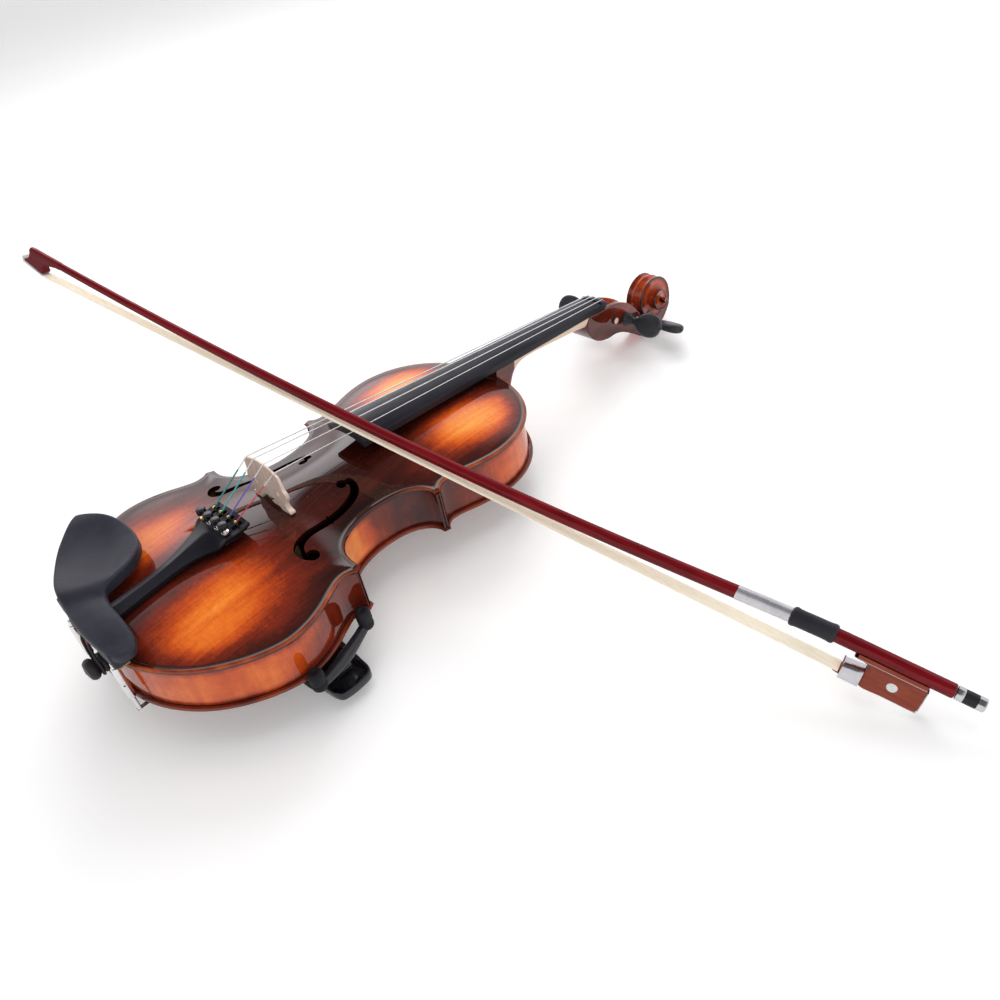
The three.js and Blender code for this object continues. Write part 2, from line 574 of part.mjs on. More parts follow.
// y and half width
const TAIL_STATIONS = [
  [TAIL_START.y, 7.5], [14, 9.2], [40, 10.2], [70, 13], [95, 17], [110, 20.2], [114.5, 20.6],
  [TAIL_END.y, 19.4],
];
const TUNER_SCREW_Y = 101.5;
const tailTop = (y) => TAIL_START.z
  + (TAIL_END.z - TAIL_START.z) * (y - TAIL_START.y) / (TAIL_END.y - TAIL_START.y);
function tailpiece() {
  const rings = TAIL_STATIONS.map(([y, half]) => {
    const z = tailTop(y), crownHeight = 0.16 * half;
    const arc = spread(half, 6).map((x) => vec(x, y, z - crownHeight * (x / half) * (x / half)));
    const under = z - TAIL_THICK;
    return [...arc, vec(-half * 0.94, y, under), vec(half * 0.94, y, under)];
  });
  const tunerHoles = Object.values(STRINGS).flatMap(({ tailX: x }) => [
    block(x - 1.9, x + 1.9, 107.6, 114.4, 0, 40),
    rodZ(x, TUNER_SCREW_Y, 0, 40, 1.7, 10),
  ]);
  const gutSlot = block(-6.5, 6.5, 5, 26, 0, 10.9);
  return cut(loft(rings), ...tunerHoles, gutSlot);
}
add('tailpiece', tailpiece(), { ...BLACK, roughness: 0.5 });

function tunerScrew(x) {
  const z = tailTop(TUNER_SCREW_Y);
  return join(rodZ(x, TUNER_SCREW_Y, z - TAIL_THICK - 0.6, z + 3.2, 1.2, 8),
    rodZ(x, TUNER_SCREW_Y, z + 3, z + 7.6, 3.2));
}
// lies under the tailpiece, its arm rising through the slot
function tunerLever(x) {
  const under = tailTop(105) - TAIL_THICK, armTop = under + TAIL_THICK + 0.2;
  return prismX([
    [97.5, under - 3.4], [112, under - 3.4], [112, armTop], [109.8, armTop],
    [109.8, under - 0.9], [99, under - 1.7], [97.5, under - 2.2],
  ], x - 1.5, x + 1.5);
}
for (const [name, { tailX }] of Object.entries(STRINGS)) {
  add(`tuner_screw_${name}`, tunerScrew(tailX), { ...STEEL, roughness: 0.3, metalness: 0.9 });
  add(`tuner_lever_${name}`, tunerLever(tailX), { ...BLACK, metalness: 0.6 });
}

// ---------------------------------------------------------------- bridge
// x is taken from the bridge's centre; the top is raised a little on the bass side
const bridgeTop = (x) => BRIDGE_TOP - arcDrop(x) + (x < 0 ? 0.5 * Math.min(1, -x / 16) : 0);
const BRIDGE_FOOT = Math.max(...[-21, -16, -11, 11, 16, 21]
  .map((x) => archAt(BRIDGE_X + x, BRIDGE_Y, TOP_ARCH))) + GAP;
// treble half, [x, height above the feet], from between the feet up to the top corner
const BRIDGE_HALF = [
  [4.8, 6.4], [8.5, 3.6], [11, 1.9], [12, 0.05], [22.4, 0.05], [22.6, 1.6], [19.2, 3.4],
  [18.6, 6.2], [20.4, 9.6], [23, 12.6], [23.4, 16], [21.6, 19], [21.2, 23.4],
];
function bridge() {
  const half = BRIDGE_HALF.map(([x, height]) => [x, BRIDGE_FOOT + height]);
  const arc = spread(19.5, 6).map((x) => [x, bridgeTop(x)]);
  const holes = [
    circle(0, BRIDGE_FOOT + 17.6, 2, 10),
    ...[1, -1].map((side) => circle(side * 13.4, BRIDGE_FOOT + 14.4, 1.9, 8)),
  ];
  const loop = [...half, ...arc, ...onSide(half, -1).reverse()];
  const blank = prismY(loop, BRIDGE_Y - BRIDGE_THICK / 2, BRIDGE_Y + BRIDGE_THICK / 2, holes)
    .translate(BRIDGE_X, 0, 0);
  // both faces lean in towards the thin top edge
  const low = BRIDGE_FOOT + 5, high = BRIDGE_TOP + 1;
  const wedge = (side) => prismX(
    [[1.82, low], [0.7, high], [4, high], [4, low]].map(([dy, z]) => [BRIDGE_Y + side * dy, z]),
    -30, 30);
  return cut(blank, wedge(1), wedge(-1));
}
add('bridge', bridge(), { color: 0xe6c7a6, roughness: 0.6 });

// ---------------------------------------------------------------- strings
function string(peg, { tailX, bridgeX, nutX, pegX, radius }) {
  const nutZ = nutTop(nutX) + radius + 0.15;
  return bar([
    [tailX, 112.6, tailTop(113) + 0.9],
    [bridgeX + BRIDGE_X, BRIDGE_Y, bridgeTop(bridgeX) + radius + 0.55],
    [nutX, NUT_Y + 0.3, nutZ + 0.1],
    [nutX * 0.97, NUT_Y + 5.7, nutZ],
    [pegX, peg.y - 3.7, peg.z + 3.6 + radius],
  ], Array(5).fill(radius), 5);
}
for (const [name, course] of Object.entries(STRINGS)) {
  add(`string_${name}`, string(PEGS[name], course), { ...STEEL, roughness: 0.25 });
}

// ---------------------------------------------------------------- pegs
// flat head, [distance along the peg, distance across]
const PEG_HEAD = [
  [24, -2.6], [27, -7], [32, -10], [38.5, -10.8], [46, -9.6], [50.5, -5.4], [51.6, 0],
  [50.5, 5.4], [46, 9.6], [38.5, 10.8], [32, 10], [27, 7], [24, 2.6],
];
const PEG_HEAD_EXTRUSION = {
  depth: 3.4, steps: 1, bevelEnabled: true,
  bevelThickness: 1.8, bevelSize: 1.4, bevelOffset: -1.4, bevelSegments: 1,
};
function peg(side) {
  const blade = new THREE.ExtrudeGeometry(shapeOf(PEG_HEAD), PEG_HEAD_EXTRUSION)
    .translate(0, 0, -PEG_HEAD_EXTRUSION.depth / 2);
  const shaft = rod([-14.6, 0, 0], [16, 0, 0], 3.4, 12, 4);
  const collar = rod([14.4, 0, 0], [17.4, 0, 0], 6.2, 12, 5.6);
  const stem = rod([17.2, 0, 0], [28, 0, 0], 4.9, 10, 3.4);
  const geometry = join(blade, shaft, collar, stem);
  return side > 0 ? geometry : geometry.rotateZ(Math.PI);
}
for (const [name, { y, z, side, turn }] of Object.entries(PEGS)) {
  const mesh = add(`peg_${name}`, peg(side), BLACK);
  mesh.position.set(0, y, z);
  mesh.rotation.x = turn;
}

// ---------------------------------------------------------------- chin rest
const CHINREST_PLAN = [
  [-100, 47], [-91, 56.5], [-78, 63], [-60, 65.5], [-41, 63.5], [-28, 57.5], [-19, 47],
  [-14, 34], [-10.5, 24], [2, 20.5], [20, 19], [38, 17.6], [50, 15], [57.5, 9.5], [56.5, 2.5],
  [48, -1.8], [30, -3.4], [8, -3.8], [-16, -2], [-42, 3.2], [-62, 11.2], [-78, 21.2],
  [-90, 33], [-98.5, 43],
];
const CHINREST_LEGS = [
  [[20, -2.6], [40, -2.2], [40, 7.6], [20, 7.6]],
  [[-20, -2.6], [-20, 7.6], [-40, 7.6], [-40, 0.6]],
];
const CHINREST_TOP = 26;
const DISH = { x: -55, y: 36, radius: 86, depth: 7.2 };
function chinrest() {
  const deck = prismZ(smoothLoop(CHINREST_PLAN, 40), 16.9, CHINREST_TOP);
  const dish = new THREE.SphereGeometry(DISH.radius, 28, 18).rotateX(Math.PI / 2)
    .translate(DISH.x, DISH.y, CHINREST_TOP + DISH.radius - DISH.depth);
  return join(cut(deck, dish), ...CHINREST_LEGS.map((leg) => prismZ(leg, 5.4, 18)));
}
add('chinrest', chinrest(), { ...BLACK, roughness: 0.55 });
for (const [name, side] of SIDES) {
  const barrel = join(rodZ(30 * side, -1, 0.6, 4.6, 1.7, 10), rodZ(30 * side, -1, -27, 0.7, 2.7));
  add(`chinrest_barrel_${name}`, barrel, STEEL);
}
// U-shaped bracket joining the barrels, with a plate under the back, [x, z]
const CLAW = [
  [-31.8, -39.4], [31.8, -39.4], [31.8, -27.4], [28.2, -27.4], [28.2, -37.4], [-28.2, -37.4],
  [-28.2, -27.4], [-31.8, -27.4],
];
const clawPlate = block(-34, 34, 0.7, 13, -40.4, -38.4);
add('chinrest_claw', join(prismY(CLAW, -2.8, 0.8), clawPlate), STEEL);

// ---------------------------------------------------------------- shoulder rest
const FLOOR = -STAND;
const PAD_THICK = 7.5;
const PAD_PLAN = [
  [-92, 88], [-60, 85], [0, 84], [60, 85], [92, 88], [99, 103], [92, 118], [60, 121], [0, 122],
  [-60, 121], [-92, 118], [-99, 103],
];
const REST_PLAN = [
  [-104, 88], [-60, 84], [0, 83], [60, 84], [104, 88], [114, 92], [118.5, 103], [114, 114],
  [104, 118], [60, 122], [0, 123], [-60, 122], [-104, 118], [-114, 114], [-118.5, 103],
  [-114, 92],
];
const HINGE_X = 103;
const pad = prismZ(smoothLoop(PAD_PLAN, 28), FLOOR, FLOOR + PAD_THICK);
add('shoulder_rest_pad', pad, { ...BLACK, roughness: 0.9 }, rest);

// shallow tray with a round boss at each end
function restPlate() {
  const plan = smoothLoop(REST_PLAN, 36);
  const hollow = plan.map(([x, y]) => [x * 0.978, ORIGIN_Y + (y - ORIGIN_Y) * 0.86]);
  const tray = cut(prismZ(plan, FLOOR + PAD_THICK + GLUE, FLOOR + 14),
    prismZ(hollow, FLOOR + 10.6, FLOOR + 20));
  const bosses = [1, -1].map((side) =>
    rodZ(HINGE_X * side, ORIGIN_Y, FLOOR + 10, FLOOR + 13.6, 9, 12, 8.4));
  return join(tray, ...bosses);
}
add('shoulder_rest_plate', restPlate(), { ...BLACK, roughness: 0.3 }, rest);

// [x, y, height above the hinge] of the two arms, each ending at a prong
const FORK_ARMS = [
  [[HINGE_X, 99, 1], [107.5, 91, 4.5], [114.2, 82, 9]],
  [[HINGE_X, 107, 1], [101.5, 119, 4.5], [98.6, 133, 9]],
];
// a round hinge barrel lies over the plate's boss; two arms rise from it to the prongs
function fork(side) {
  const zHinge = FLOOR + 18.2, x = HINGE_X * side;
  const barrel = rod([x, ORIGIN_Y - 6, zHinge], [x, ORIGIN_Y + 6, zHinge], 4.3);
  const arms = FORK_ARMS.map((arm) =>
    bar(arm.map(([ax, y, height]) => [ax * side, y, zHinge + height]), [4.2, 3.9, 3.6], 8, 0.8));
  const prongs = FORK_ARMS.map((arm) =>
    rodZ(arm[2][0] * side, arm[2][1], zHinge + 7, zHinge + 25.5, 4.3, 10, 4.8));
  return join(barrel, ...arms, ...prongs);
}
for (const [name, side] of SIDES) {
  add(`shoulder_rest_fork_${name}`, fork(side), { ...BLACK, roughness: 0.6 }, rest);
}

// ---------------------------------------------------------------- bow
// Its own frame: x from button to tip, z away from the hair. It is set in the violin's frame.
const BOW = {
  length: 745, camber: 12.4, hairDrop: 19,
  heading: -1.789, rise: 0.2583, lean: 0.22,   // radians
  buttonEnd: [424, 304.9, -45.6],
};
const heading = vec(
  Math.sin(BOW.heading) * Math.cos(BOW.rise),
  Math.cos(BOW.heading) * Math.cos(BOW.rise),
  Math.sin(BOW.rise));
const across = vec(0, 0, 0).crossVectors(heading, vec(0, 0, 1)).normalize();
const upright = vec(0, 0, 0).crossVectors(across, heading)
  .multiplyScalar(Math.cos(BOW.lean)).addScaledVector(across, Math.sin(BOW.lean));
bow.position.set(...BOW.buttonEnd);
bow.quaternion.setFromRotationMatrix(new THREE.Matrix4()
  .makeBasis(heading, vec(0, 0, 0).crossVectors(upright, heading), upright));

const CAMBER_START = 76;
function camber(x) {
  const u = Math.max(0, (x - CAMBER_START) / (BOW.length - CAMBER_START));
  return -4 * BOW.camber * u * (1 - u) * (1 - Math.exp(-u * 12));
}
const stickRadius = (x) =>
  interpolate(x, [17, 120, 300, 500, 700, 745], [4.3, 4.2, 3.9, 3.4, 2.8, 2.65]);
// octagonal bar along the stick; the radius is to the flats
const alongStick = (stations, radiusAt) => loft(stations.map((x) => {
  const radius = radiusAt(x) / Math.cos(Math.PI / 8);
  return Array.from({ length: 8 }, (_, i) => {
    const angle = (i + 0.5) * 2 * Math.PI / 8;
    return vec(x, radius * Math.cos(angle), camber(x) + radius * Math.sin(angle));
  });
}));
// slab drawn in (x, z), with half its thickness to each side
const slab = (points, half) => prismY(points, -half, half);

const STICK_STATIONS = [17, 76, 130, 200, 280, 360, 440, 520, 600, 660, 700, 725, 741];
const BOW_HEAD = [
  [706, 2], [738, 2.9], [744.5, 1.2], [747.2, -2.4], [749.6, -8.4], [748.3, -9.2],
  [727.5, -14.6], [725.8, -12.9], [727.2, -8], [722.5, -4.6], [712, -3.2],
];
function bowStick() {
  const screwHole = rod([10, 0, 0], [66, 0, 0], 1.9, 10);
  const eyeletSlot = slab([[36, -8], [57, -8], [57, 2.6], [36, 2.6]], 2.5);
  const shaft = cut(alongStick(STICK_STATIONS, stickRadius), screwHole, eyeletSlot);
  return join(shaft, slab(BOW_HEAD, 3.2));
}
add('bow_stick', bowStick(), { color: 0x5a1512, roughness: 0.22 }, bow);

const TIP_PLATE = [
  [750.2, -8.8], [748.9, -10.7], [727.3, -16.3], [725.4, -15], [727.3, -15.1], [748.4, -9.6],
  [749.8, -8.5],
];
add('bow_tip_plate', slab(TIP_PLATE, 4.2), { color: 0xd9d9d6, roughness: 0.3 }, bow);

// x, height above the hair's low end, half width
const HAIR_STATIONS = [[74.5, 0, 5.2], [400, 1.2, 5], [728.5, 1, 4.6]];
const bowHair = loft(HAIR_STATIONS.map(([x, height, half]) => {
  const z = height - BOW.hairDrop;
  return [[half, 0.45], [-half, 0.45], [-half, -0.45], [half, -0.45]]
    .map(([y, dz]) => vec(x, y, z + dz));
}));
add('bow_hair', bowHair, { color: 0xe9dfc4, roughness: 0.7 }, bow);

// sleeve round the stick, with a clear bore
const sleeve = (stations, thickAt, bore) => cut(
  alongStick(stations, (x) => stickRadius(x) + thickAt(x)),
  alongStick(bore, (x) => stickRadius(x) + GAP));
const lapping = sleeve([110.5, 143.5], () => 0.75, [100, 150]);
add('bow_lapping', lapping, { color: 0xc4c6ca, roughness: 0.3, metalness: 0.9 }, bow);
const gripThick = (x) => (x < 85 || x > 109 ? 1 : 1.6);
const grip = sleeve([84, 85.5, 108.5, 110.2], gripThick, [70, 120]);
add('bow_grip', grip, { ...BLACK, roughness: 0.7 }, bow);

const FROG = [
  [29, -4.9], [28.4, -13.5], [29.2, -21.4], [31, -22.2], [61.6, -22.2], [61.6, -10.4],
  [59.6, -9.4], [61, -7], [66, -5.4], [70.8, -4.9],
];
add('bow_frog', slab(FROG, 4.9), { color: 0x7a2a1a, roughness: 0.3 }, bow);
const FERRULE = [[61.9, -22.5], [73.4, -22.5], [73.4, -13.6], [71.8, -12.4], [61.9, -11.4]];
add('bow_ferrule', slab(FERRULE, 6.4), { ...STEEL, color: 0xd0d1d3 }, bow);
const eyelet = cut(slab([[44, -4.7], [49.5, -4.7], [49.5, 2], [44, 2]], 1.9),
  rod([40, 0, 0], [55, 0, 0], 1.55, 10));
add('bow_eyelet', eyelet, { color: 0xb08d3c, roughness: 0.35, metalness: 0.9 }, bow);
// octagonal button, its chamfered end, and the screw
const bowScrew = join(
  rod([1, 0, 0], [16.4, 0, 0], 4.4, 8),
  rod([0, 0, 0], [1.05, 0, 0], 3, 12, 4.3),
  rod([16.2, 0, 0], [62, 0, 0], 1.25, 10));
add('bow_screw', bowScrew, { ...STEEL, roughness: 0.25 }, bow);

export default whole;
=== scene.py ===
"""Looks for a full-size violin with chin rest, shoulder rest and bow.

Meshes are written in millimetres in the frame of their group (violin, shoulder rest or bow) and
placed by that group's matrix, so grain directions follow the pieces.
Violin and shoulder rest: +x is the treble side, y runs from the tail end (0) to the scroll, +z is
up, and z = 0 is where the top plate lies on the ribs. The violin is tilted a little, the rest isn't.
Bow: x runs from the button to the tip, z points from the hair to the stick.
"""
import math

import bpy
import bmesh
import numpy as np
from mathutils import Matrix, Vector
from mathutils.geometry import delaunay_2d_cdt


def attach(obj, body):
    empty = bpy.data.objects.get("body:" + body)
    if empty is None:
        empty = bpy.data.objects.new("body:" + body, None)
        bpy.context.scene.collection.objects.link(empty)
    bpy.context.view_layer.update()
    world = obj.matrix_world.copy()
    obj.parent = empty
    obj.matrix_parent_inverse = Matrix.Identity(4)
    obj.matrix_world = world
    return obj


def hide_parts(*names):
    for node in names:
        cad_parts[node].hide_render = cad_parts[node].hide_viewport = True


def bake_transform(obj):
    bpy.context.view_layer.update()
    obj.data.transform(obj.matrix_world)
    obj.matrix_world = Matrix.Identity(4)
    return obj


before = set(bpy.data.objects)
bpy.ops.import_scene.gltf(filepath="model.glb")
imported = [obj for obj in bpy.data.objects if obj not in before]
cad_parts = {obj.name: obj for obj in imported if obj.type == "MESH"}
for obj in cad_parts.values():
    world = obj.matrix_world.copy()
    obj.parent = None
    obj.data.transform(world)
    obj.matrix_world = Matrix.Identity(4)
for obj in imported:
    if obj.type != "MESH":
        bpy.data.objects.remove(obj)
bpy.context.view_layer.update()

MILLI = 0.001
SIDES = (("treble", 1), ("bass", -1))
rng = np.random.default_rng(7)

# ------------------------------------------------------------------ group frames (metres, radians)
LIFT = 0.067
SHIFT = -0.103
TILT = 0.0152
VIOLIN = (Matrix.Translation((0, 0, LIFT)) @ Matrix.Rotation(-TILT, 4, "X")
          @ Matrix.Translation((0, SHIFT, 0)))
REST = Matrix.Translation((0, SHIFT, LIFT))


def bow_frame():
    """The bow's matrix from its heading off +y, its rise, and its lean about its own length."""
    heading, rise, lean = -1.789, 0.2583, 0.22
    origin = (0.424, 0.3049, -0.0456)
    along = Vector((math.sin(heading) * math.cos(rise), math.cos(heading) * math.cos(rise),
                    math.sin(rise)))
    across = along.cross(Vector((0, 0, 1))).normalized()
    upward = across.cross(along) * math.cos(lean) + across * math.sin(lean)
    sideways = upward.cross(along)
    return VIOLIN @ Matrix((*zip(along, sideways, upward, origin), (0, 0, 0, 1)))


BOW = bow_frame()


# ------------------------------------------------------------------ node helpers
class Nodes:
    """Short calls that add nodes to one tree."""

    def __init__(self, tree):
        self.tree = tree

    def node(self, kind, **props):
        node = self.tree.nodes.new(kind)
        for key, value in props.items():
            setattr(node, key, value)
        return node

    def feed(self, value, socket):
        """Links a socket, or sets a number or an RGB colour."""
        if isinstance(value, bpy.types.NodeSocket):
            self.tree.links.new(value, socket)
        elif isinstance(value, tuple):
            socket.default_value = (*value, 1)
        else:
            socket.default_value = value

    def math(self, operation, first, second, clamp=False):
        node = self.node("ShaderNodeMath", operation=operation, use_clamp=clamp)
        self.feed(first, node.inputs[0])
        self.feed(second, node.inputs[1])
        return node.outputs[0]

    def add(self, first, second, clamp=False):
        return self.math("ADD", first, second, clamp)

    def times(self, first, second):
        return self.math("MULTIPLY", first, second)

    def remap(self, value, span, out=(0.0, 1.0), smooth=False):
        """Maps the span to the out pair, clamped."""
        kind = "SMOOTHSTEP" if smooth else "LINEAR"
        node = self.node("ShaderNodeMapRange", interpolation_type=kind)
        for i, item in enumerate((value, *span, *out)):
            self.feed(item, node.inputs[i])
        return node.outputs[0]


class Shader(Nodes):
    """A Principled material driven by object coordinates."""

    def __init__(self, name, rough, metal=0.0, coat=0.0, coat_rough=0.03, spec=0.5):
        self.material = bpy.data.materials.new(name)
        self.material.use_nodes = True
        super().__init__(self.material.node_tree)
        self.surface = self.tree.nodes["Principled BSDF"].inputs
        for key, value in (("Roughness", rough), ("Metallic", metal), ("Coat Weight", coat),
                           ("Coat Roughness", coat_rough), ("Specular IOR Level", spec),
                           ("IOR", 1.5)):
            self.surface[key].default_value = value
        self.object_place = self.node("ShaderNodeTexCoord").outputs["Object"]

    def noise(self, stretch, detail=4.0, roughness=0.55, distortion=0.0):
        """Noise with stretch cycles a metre along x, y and z."""
        mapping = self.node("ShaderNodeMapping")
        mapping.inputs["Scale"].default_value = stretch
        self.feed(self.object_place, mapping.inputs["Vector"])
        noise = self.node("ShaderNodeTexNoise")
        for key, value in (("Scale", 1.0), ("Detail", detail), ("Roughness", roughness),
                           ("Distortion", distortion), ("Vector", mapping.outputs["Vector"])):
            self.feed(value, noise.inputs[key])
        return noise.outputs["Fac"]

    def attribute(self, name):
        return self.node("ShaderNodeAttribute", attribute_name=name).outputs["Fac"]

    def swing(self, noise, amount):
        """The noise centred on zero and scaled by amount."""
        return self.times(self.math("SUBTRACT", noise, 0.5), amount)

    def weighted(self, first, first_share, second, second_share):
        return self.add(self.times(first, first_share), self.times(second, second_share))

    def band(self, value, rise, fall, smooth=False):
        """One between the rise span and the fall span, zero outside."""
        return self.times(self.remap(value, rise, smooth=smooth),
                          self.remap(value, fall, out=(1, 0), smooth=smooth))

    def ramp(self, value, stops):
        node = self.node("ShaderNodeValToRGB")
        elements = node.color_ramp.elements
        while len(elements) < len(stops):
            elements.new(0.5)
        for element, (position, colour) in zip(elements, stops):
            element.position = position
            element.color = (*colour, 1)
        self.feed(value, node.inputs[0])
        return node.outputs["Color"]

    def mix(self, factor, first, second):
        node = self.node("ShaderNodeMix", data_type="RGBA", blend_type="MIX")
        for i, value in ((0, factor), (6, first), (7, second)):
            self.feed(value, node.inputs[i])
        return node.outputs[2]

    def color(self, colour):
        self.feed(colour, self.surface["Base Color"])

    def glow(self, colour, strength):
        self.feed(colour, self.surface["Emission Color"])
        self.feed(strength, self.surface["Emission Strength"])

    def bump(self, height, strength, distance=0.0002, target="Normal"):
        node = self.node("ShaderNodeBump")
        node.inputs["Strength"].default_value = strength
        node.inputs["Distance"].default_value = distance
        self.feed(height, node.inputs["Height"])
        self.feed(node.outputs["Normal"], self.surface[target])


# ------------------------------------------------------------------ material kinds
# red-brown sunburst varnish, from the dark edge to the bright middle of a bout
BURST = [(0.0, (0.016, 0.0035, 0.003)), (0.22, (0.065, 0.009, 0.005)),
         (0.42, (0.21, 0.022, 0.007)), (0.62, (0.58, 0.078, 0.010)),
         (0.8, (0.86, 0.19, 0.020)), (1.0, (0.97, 0.40, 0.06))]
# purfling: distances from the plate's edge (mm) where its dark line begins and ends
PURFLING = dict(rise=(3.45, 3.6), fall=(4.5, 4.65))
PURFLING_BLACK = (0.006, 0.005, 0.005)


def spruce_material():
    shader = Shader("varnished_spruce", rough=0.5, coat=1.0, spec=0.0)
    tone, edge = shader.attribute("tone"), shader.attribute("edge")
    lines = shader.noise(stretch=(620, 9, 40), detail=3, roughness=0.6)
    wide = shader.noise(stretch=(170, 7, 20), detail=4, roughness=0.6)
    blot = shader.noise(stretch=(46, 20, 20), detail=5, roughness=0.62)
    silk = shader.noise(stretch=(260, 420, 100), detail=4, roughness=0.65, distortion=0.8)
    level = shader.add(tone, shader.swing(lines, amount=0.16))
    level = shader.add(level, shader.swing(wide, amount=0.26))
    level = shader.add(level, shader.swing(silk, amount=0.22))
    level = shader.add(level, shader.swing(blot, amount=0.42), clamp=True)
    wood = shader.ramp(level, BURST)
    # rim bead, darker where the tone is low
    rim = shader.ramp(shader.noise(stretch=(60, 60, 60), detail=3),
                      [(0.3, (0.14, 0.016, 0.005)), (0.7, (0.48, 0.085, 0.010))])
    rim = shader.mix(shader.remap(tone, span=(0.055, 0.135), smooth=True),
                     (0.045, 0.006, 0.004), rim)
    colour = shader.mix(shader.remap(edge, span=(1.5, 2.3), out=(1, 0), smooth=True), wood, rim)
    # purfling: a soft dark surround, the black line and its pale core
    surround = shader.band(edge, rise=(2.5, 3.1), fall=(4.6, 5.8), smooth=True)
    colour = shader.mix(shader.times(surround, 0.55), colour, (0.014, 0.010, 0.011))
    line = shader.band(edge, **PURFLING)
    pale = shader.band(edge, rise=(3.82, 3.92), fall=(4.18, 4.28))
    colour = shader.mix(line, colour, PURFLING_BLACK)
    colour = shader.mix(shader.times(pale, 0.55), colour, (0.16, 0.07, 0.03))
    shader.color(colour)
    shader.bump(shader.weighted(lines, 0.7, wide, 0.5), strength=0.10)
    shader.bump(wide, strength=0.05, distance=0.0003, target="Coat Normal")
    return shader.material


def maple_material(name, flame, fibre, offset=0.0, gain=1.0):
    """Maple under the same varnish. flame and fibre are the stretches of its two grains."""
    shader = Shader(name, rough=0.5, coat=1.0, spec=0.0)
    tone, edge = shader.attribute("tone"), shader.attribute("edge")
    stripes = shader.noise(stretch=flame, detail=3, roughness=0.5, distortion=0.6)
    fine = shader.noise(stretch=fibre, detail=3)
    blot = shader.noise(stretch=(34, 34, 34), detail=4, roughness=0.6)
    level = shader.add(tone, shader.swing(stripes, amount=0.7 * gain))
    level = shader.add(level, shader.swing(fine, amount=0.12))
    level = shader.add(level, shader.swing(blot, amount=0.5))
    level = shader.add(level, offset, clamp=True)
    wood = shader.ramp(level, BURST)
    rim = shader.ramp(blot, [(0.3, (0.07, 0.008, 0.004)), (0.7, (0.26, 0.034, 0.008))])
    wood = shader.mix(shader.remap(edge, span=(1.9, 2.9), out=(1, 0), smooth=True), wood, rim)
    line = shader.band(edge, **PURFLING)
    shader.color(shader.mix(shader.times(line, 0.9), wood, PURFLING_BLACK))
    shader.bump(fine, strength=0.08)
    return shader.material


def plain_varnish(name, tone):
    """The sunburst colours without edge work; tone is added to the mesh's own tone."""
    shader = Shader(name, rough=0.5, coat=1.0, coat_rough=0.04, spec=0.0)
    blot = shader.noise(stretch=(40, 24, 60), detail=4)
    fine = shader.noise(stretch=(400, 60, 400), detail=3)
    level = shader.add(shader.swing(blot, amount=0.55), shader.swing(fine, amount=0.15))
    level = shader.add(level, shader.add(shader.attribute("tone"), tone), clamp=True)
    shader.color(shader.ramp(level, BURST))
    shader.bump(fine, strength=0.06)
    return shader.material


def wood_material(name, dark, light, stretch, rough, contrast=(0.35, 0.65), bump=0.12):
    """Bare wood. contrast holds the noise levels of the dark and the light colour."""
    shader = Shader(name, rough=rough, coat_rough=0.06)
    grain = shader.noise(stretch=stretch, detail=5, roughness=0.6)
    fine = shader.noise(stretch=tuple(s * 3.1 for s in stretch), detail=3)
    level = shader.weighted(grain, 0.7, fine, 0.3)
    shader.color(shader.ramp(level, [(contrast[0], dark), (contrast[1], light)]))
    shader.feed(shader.remap(fine, span=(0.3, 0.7), out=(rough - 0.06, rough + 0.08)),
                shader.surface["Roughness"])
    shader.bump(level, strength=bump)
    return shader.material


def black_material(name, base, rough, grain, bump, coat=0.0, vary=0.08, distance=0.0002,
                   streak=(22, 22, 22)):
    """Dark matter with lighter streaks; vary is how far the roughness swings each way."""
    shader = Shader(name, rough=rough, coat=coat, coat_rough=0.08, spec=0.22)
    fine = shader.noise(stretch=grain, detail=5, roughness=0.6)
    wide = shader.noise(stretch=streak, detail=4)
    light = tuple(c * 1.5 + 0.004 for c in base)
    shader.color(shader.mix(shader.remap(wide, span=(0.35, 0.65), smooth=True), base, light))
    shader.feed(shader.remap(fine, span=(0.3, 0.7), out=(rough - vary, rough + vary)),
                shader.surface["Roughness"])
    shader.bump(fine, strength=bump, distance=distance)
    return shader.material


def metal_material(name, color, rough, brushed=(60, 900, 900), metal=1.0):
    shader = Shader(name, rough=rough, metal=metal)
    fine = shader.noise(stretch=brushed, detail=4)
    wide = shader.noise(stretch=(70, 70, 70), detail=3)
    shader.color(shader.mix(shader.remap(wide, span=(0.3, 0.7), out=(0, 0.5)), color,
                            tuple(c * 0.72 for c in color)))
    shader.feed(shader.remap(fine, span=(0.3, 0.7), out=(max(0.03, rough - 0.07), rough + 0.1)),
                shader.surface["Roughness"])
    shader.bump(fine, strength=0.05, distance=0.0001)
    return shader.material


# ------------------------------------------------------------------ object helpers
def shade_smooth(mesh, angle):
    """Smooth shading, with edges sharper than angle (degrees) kept hard."""
    mesh.polygons.foreach_set("use_smooth", np.ones(len(mesh.polygons), bool))
    mesh.set_sharp_from_angle(angle=math.radians(angle))


def add_bevel(piece, width, angle, segments=3):
    bevel = piece.modifiers.new("bevel", "BEVEL")
    bevel.width = width * MILLI
    bevel.segments = segments
    bevel.limit_method = "ANGLE"
    bevel.angle_limit = math.radians(angle)


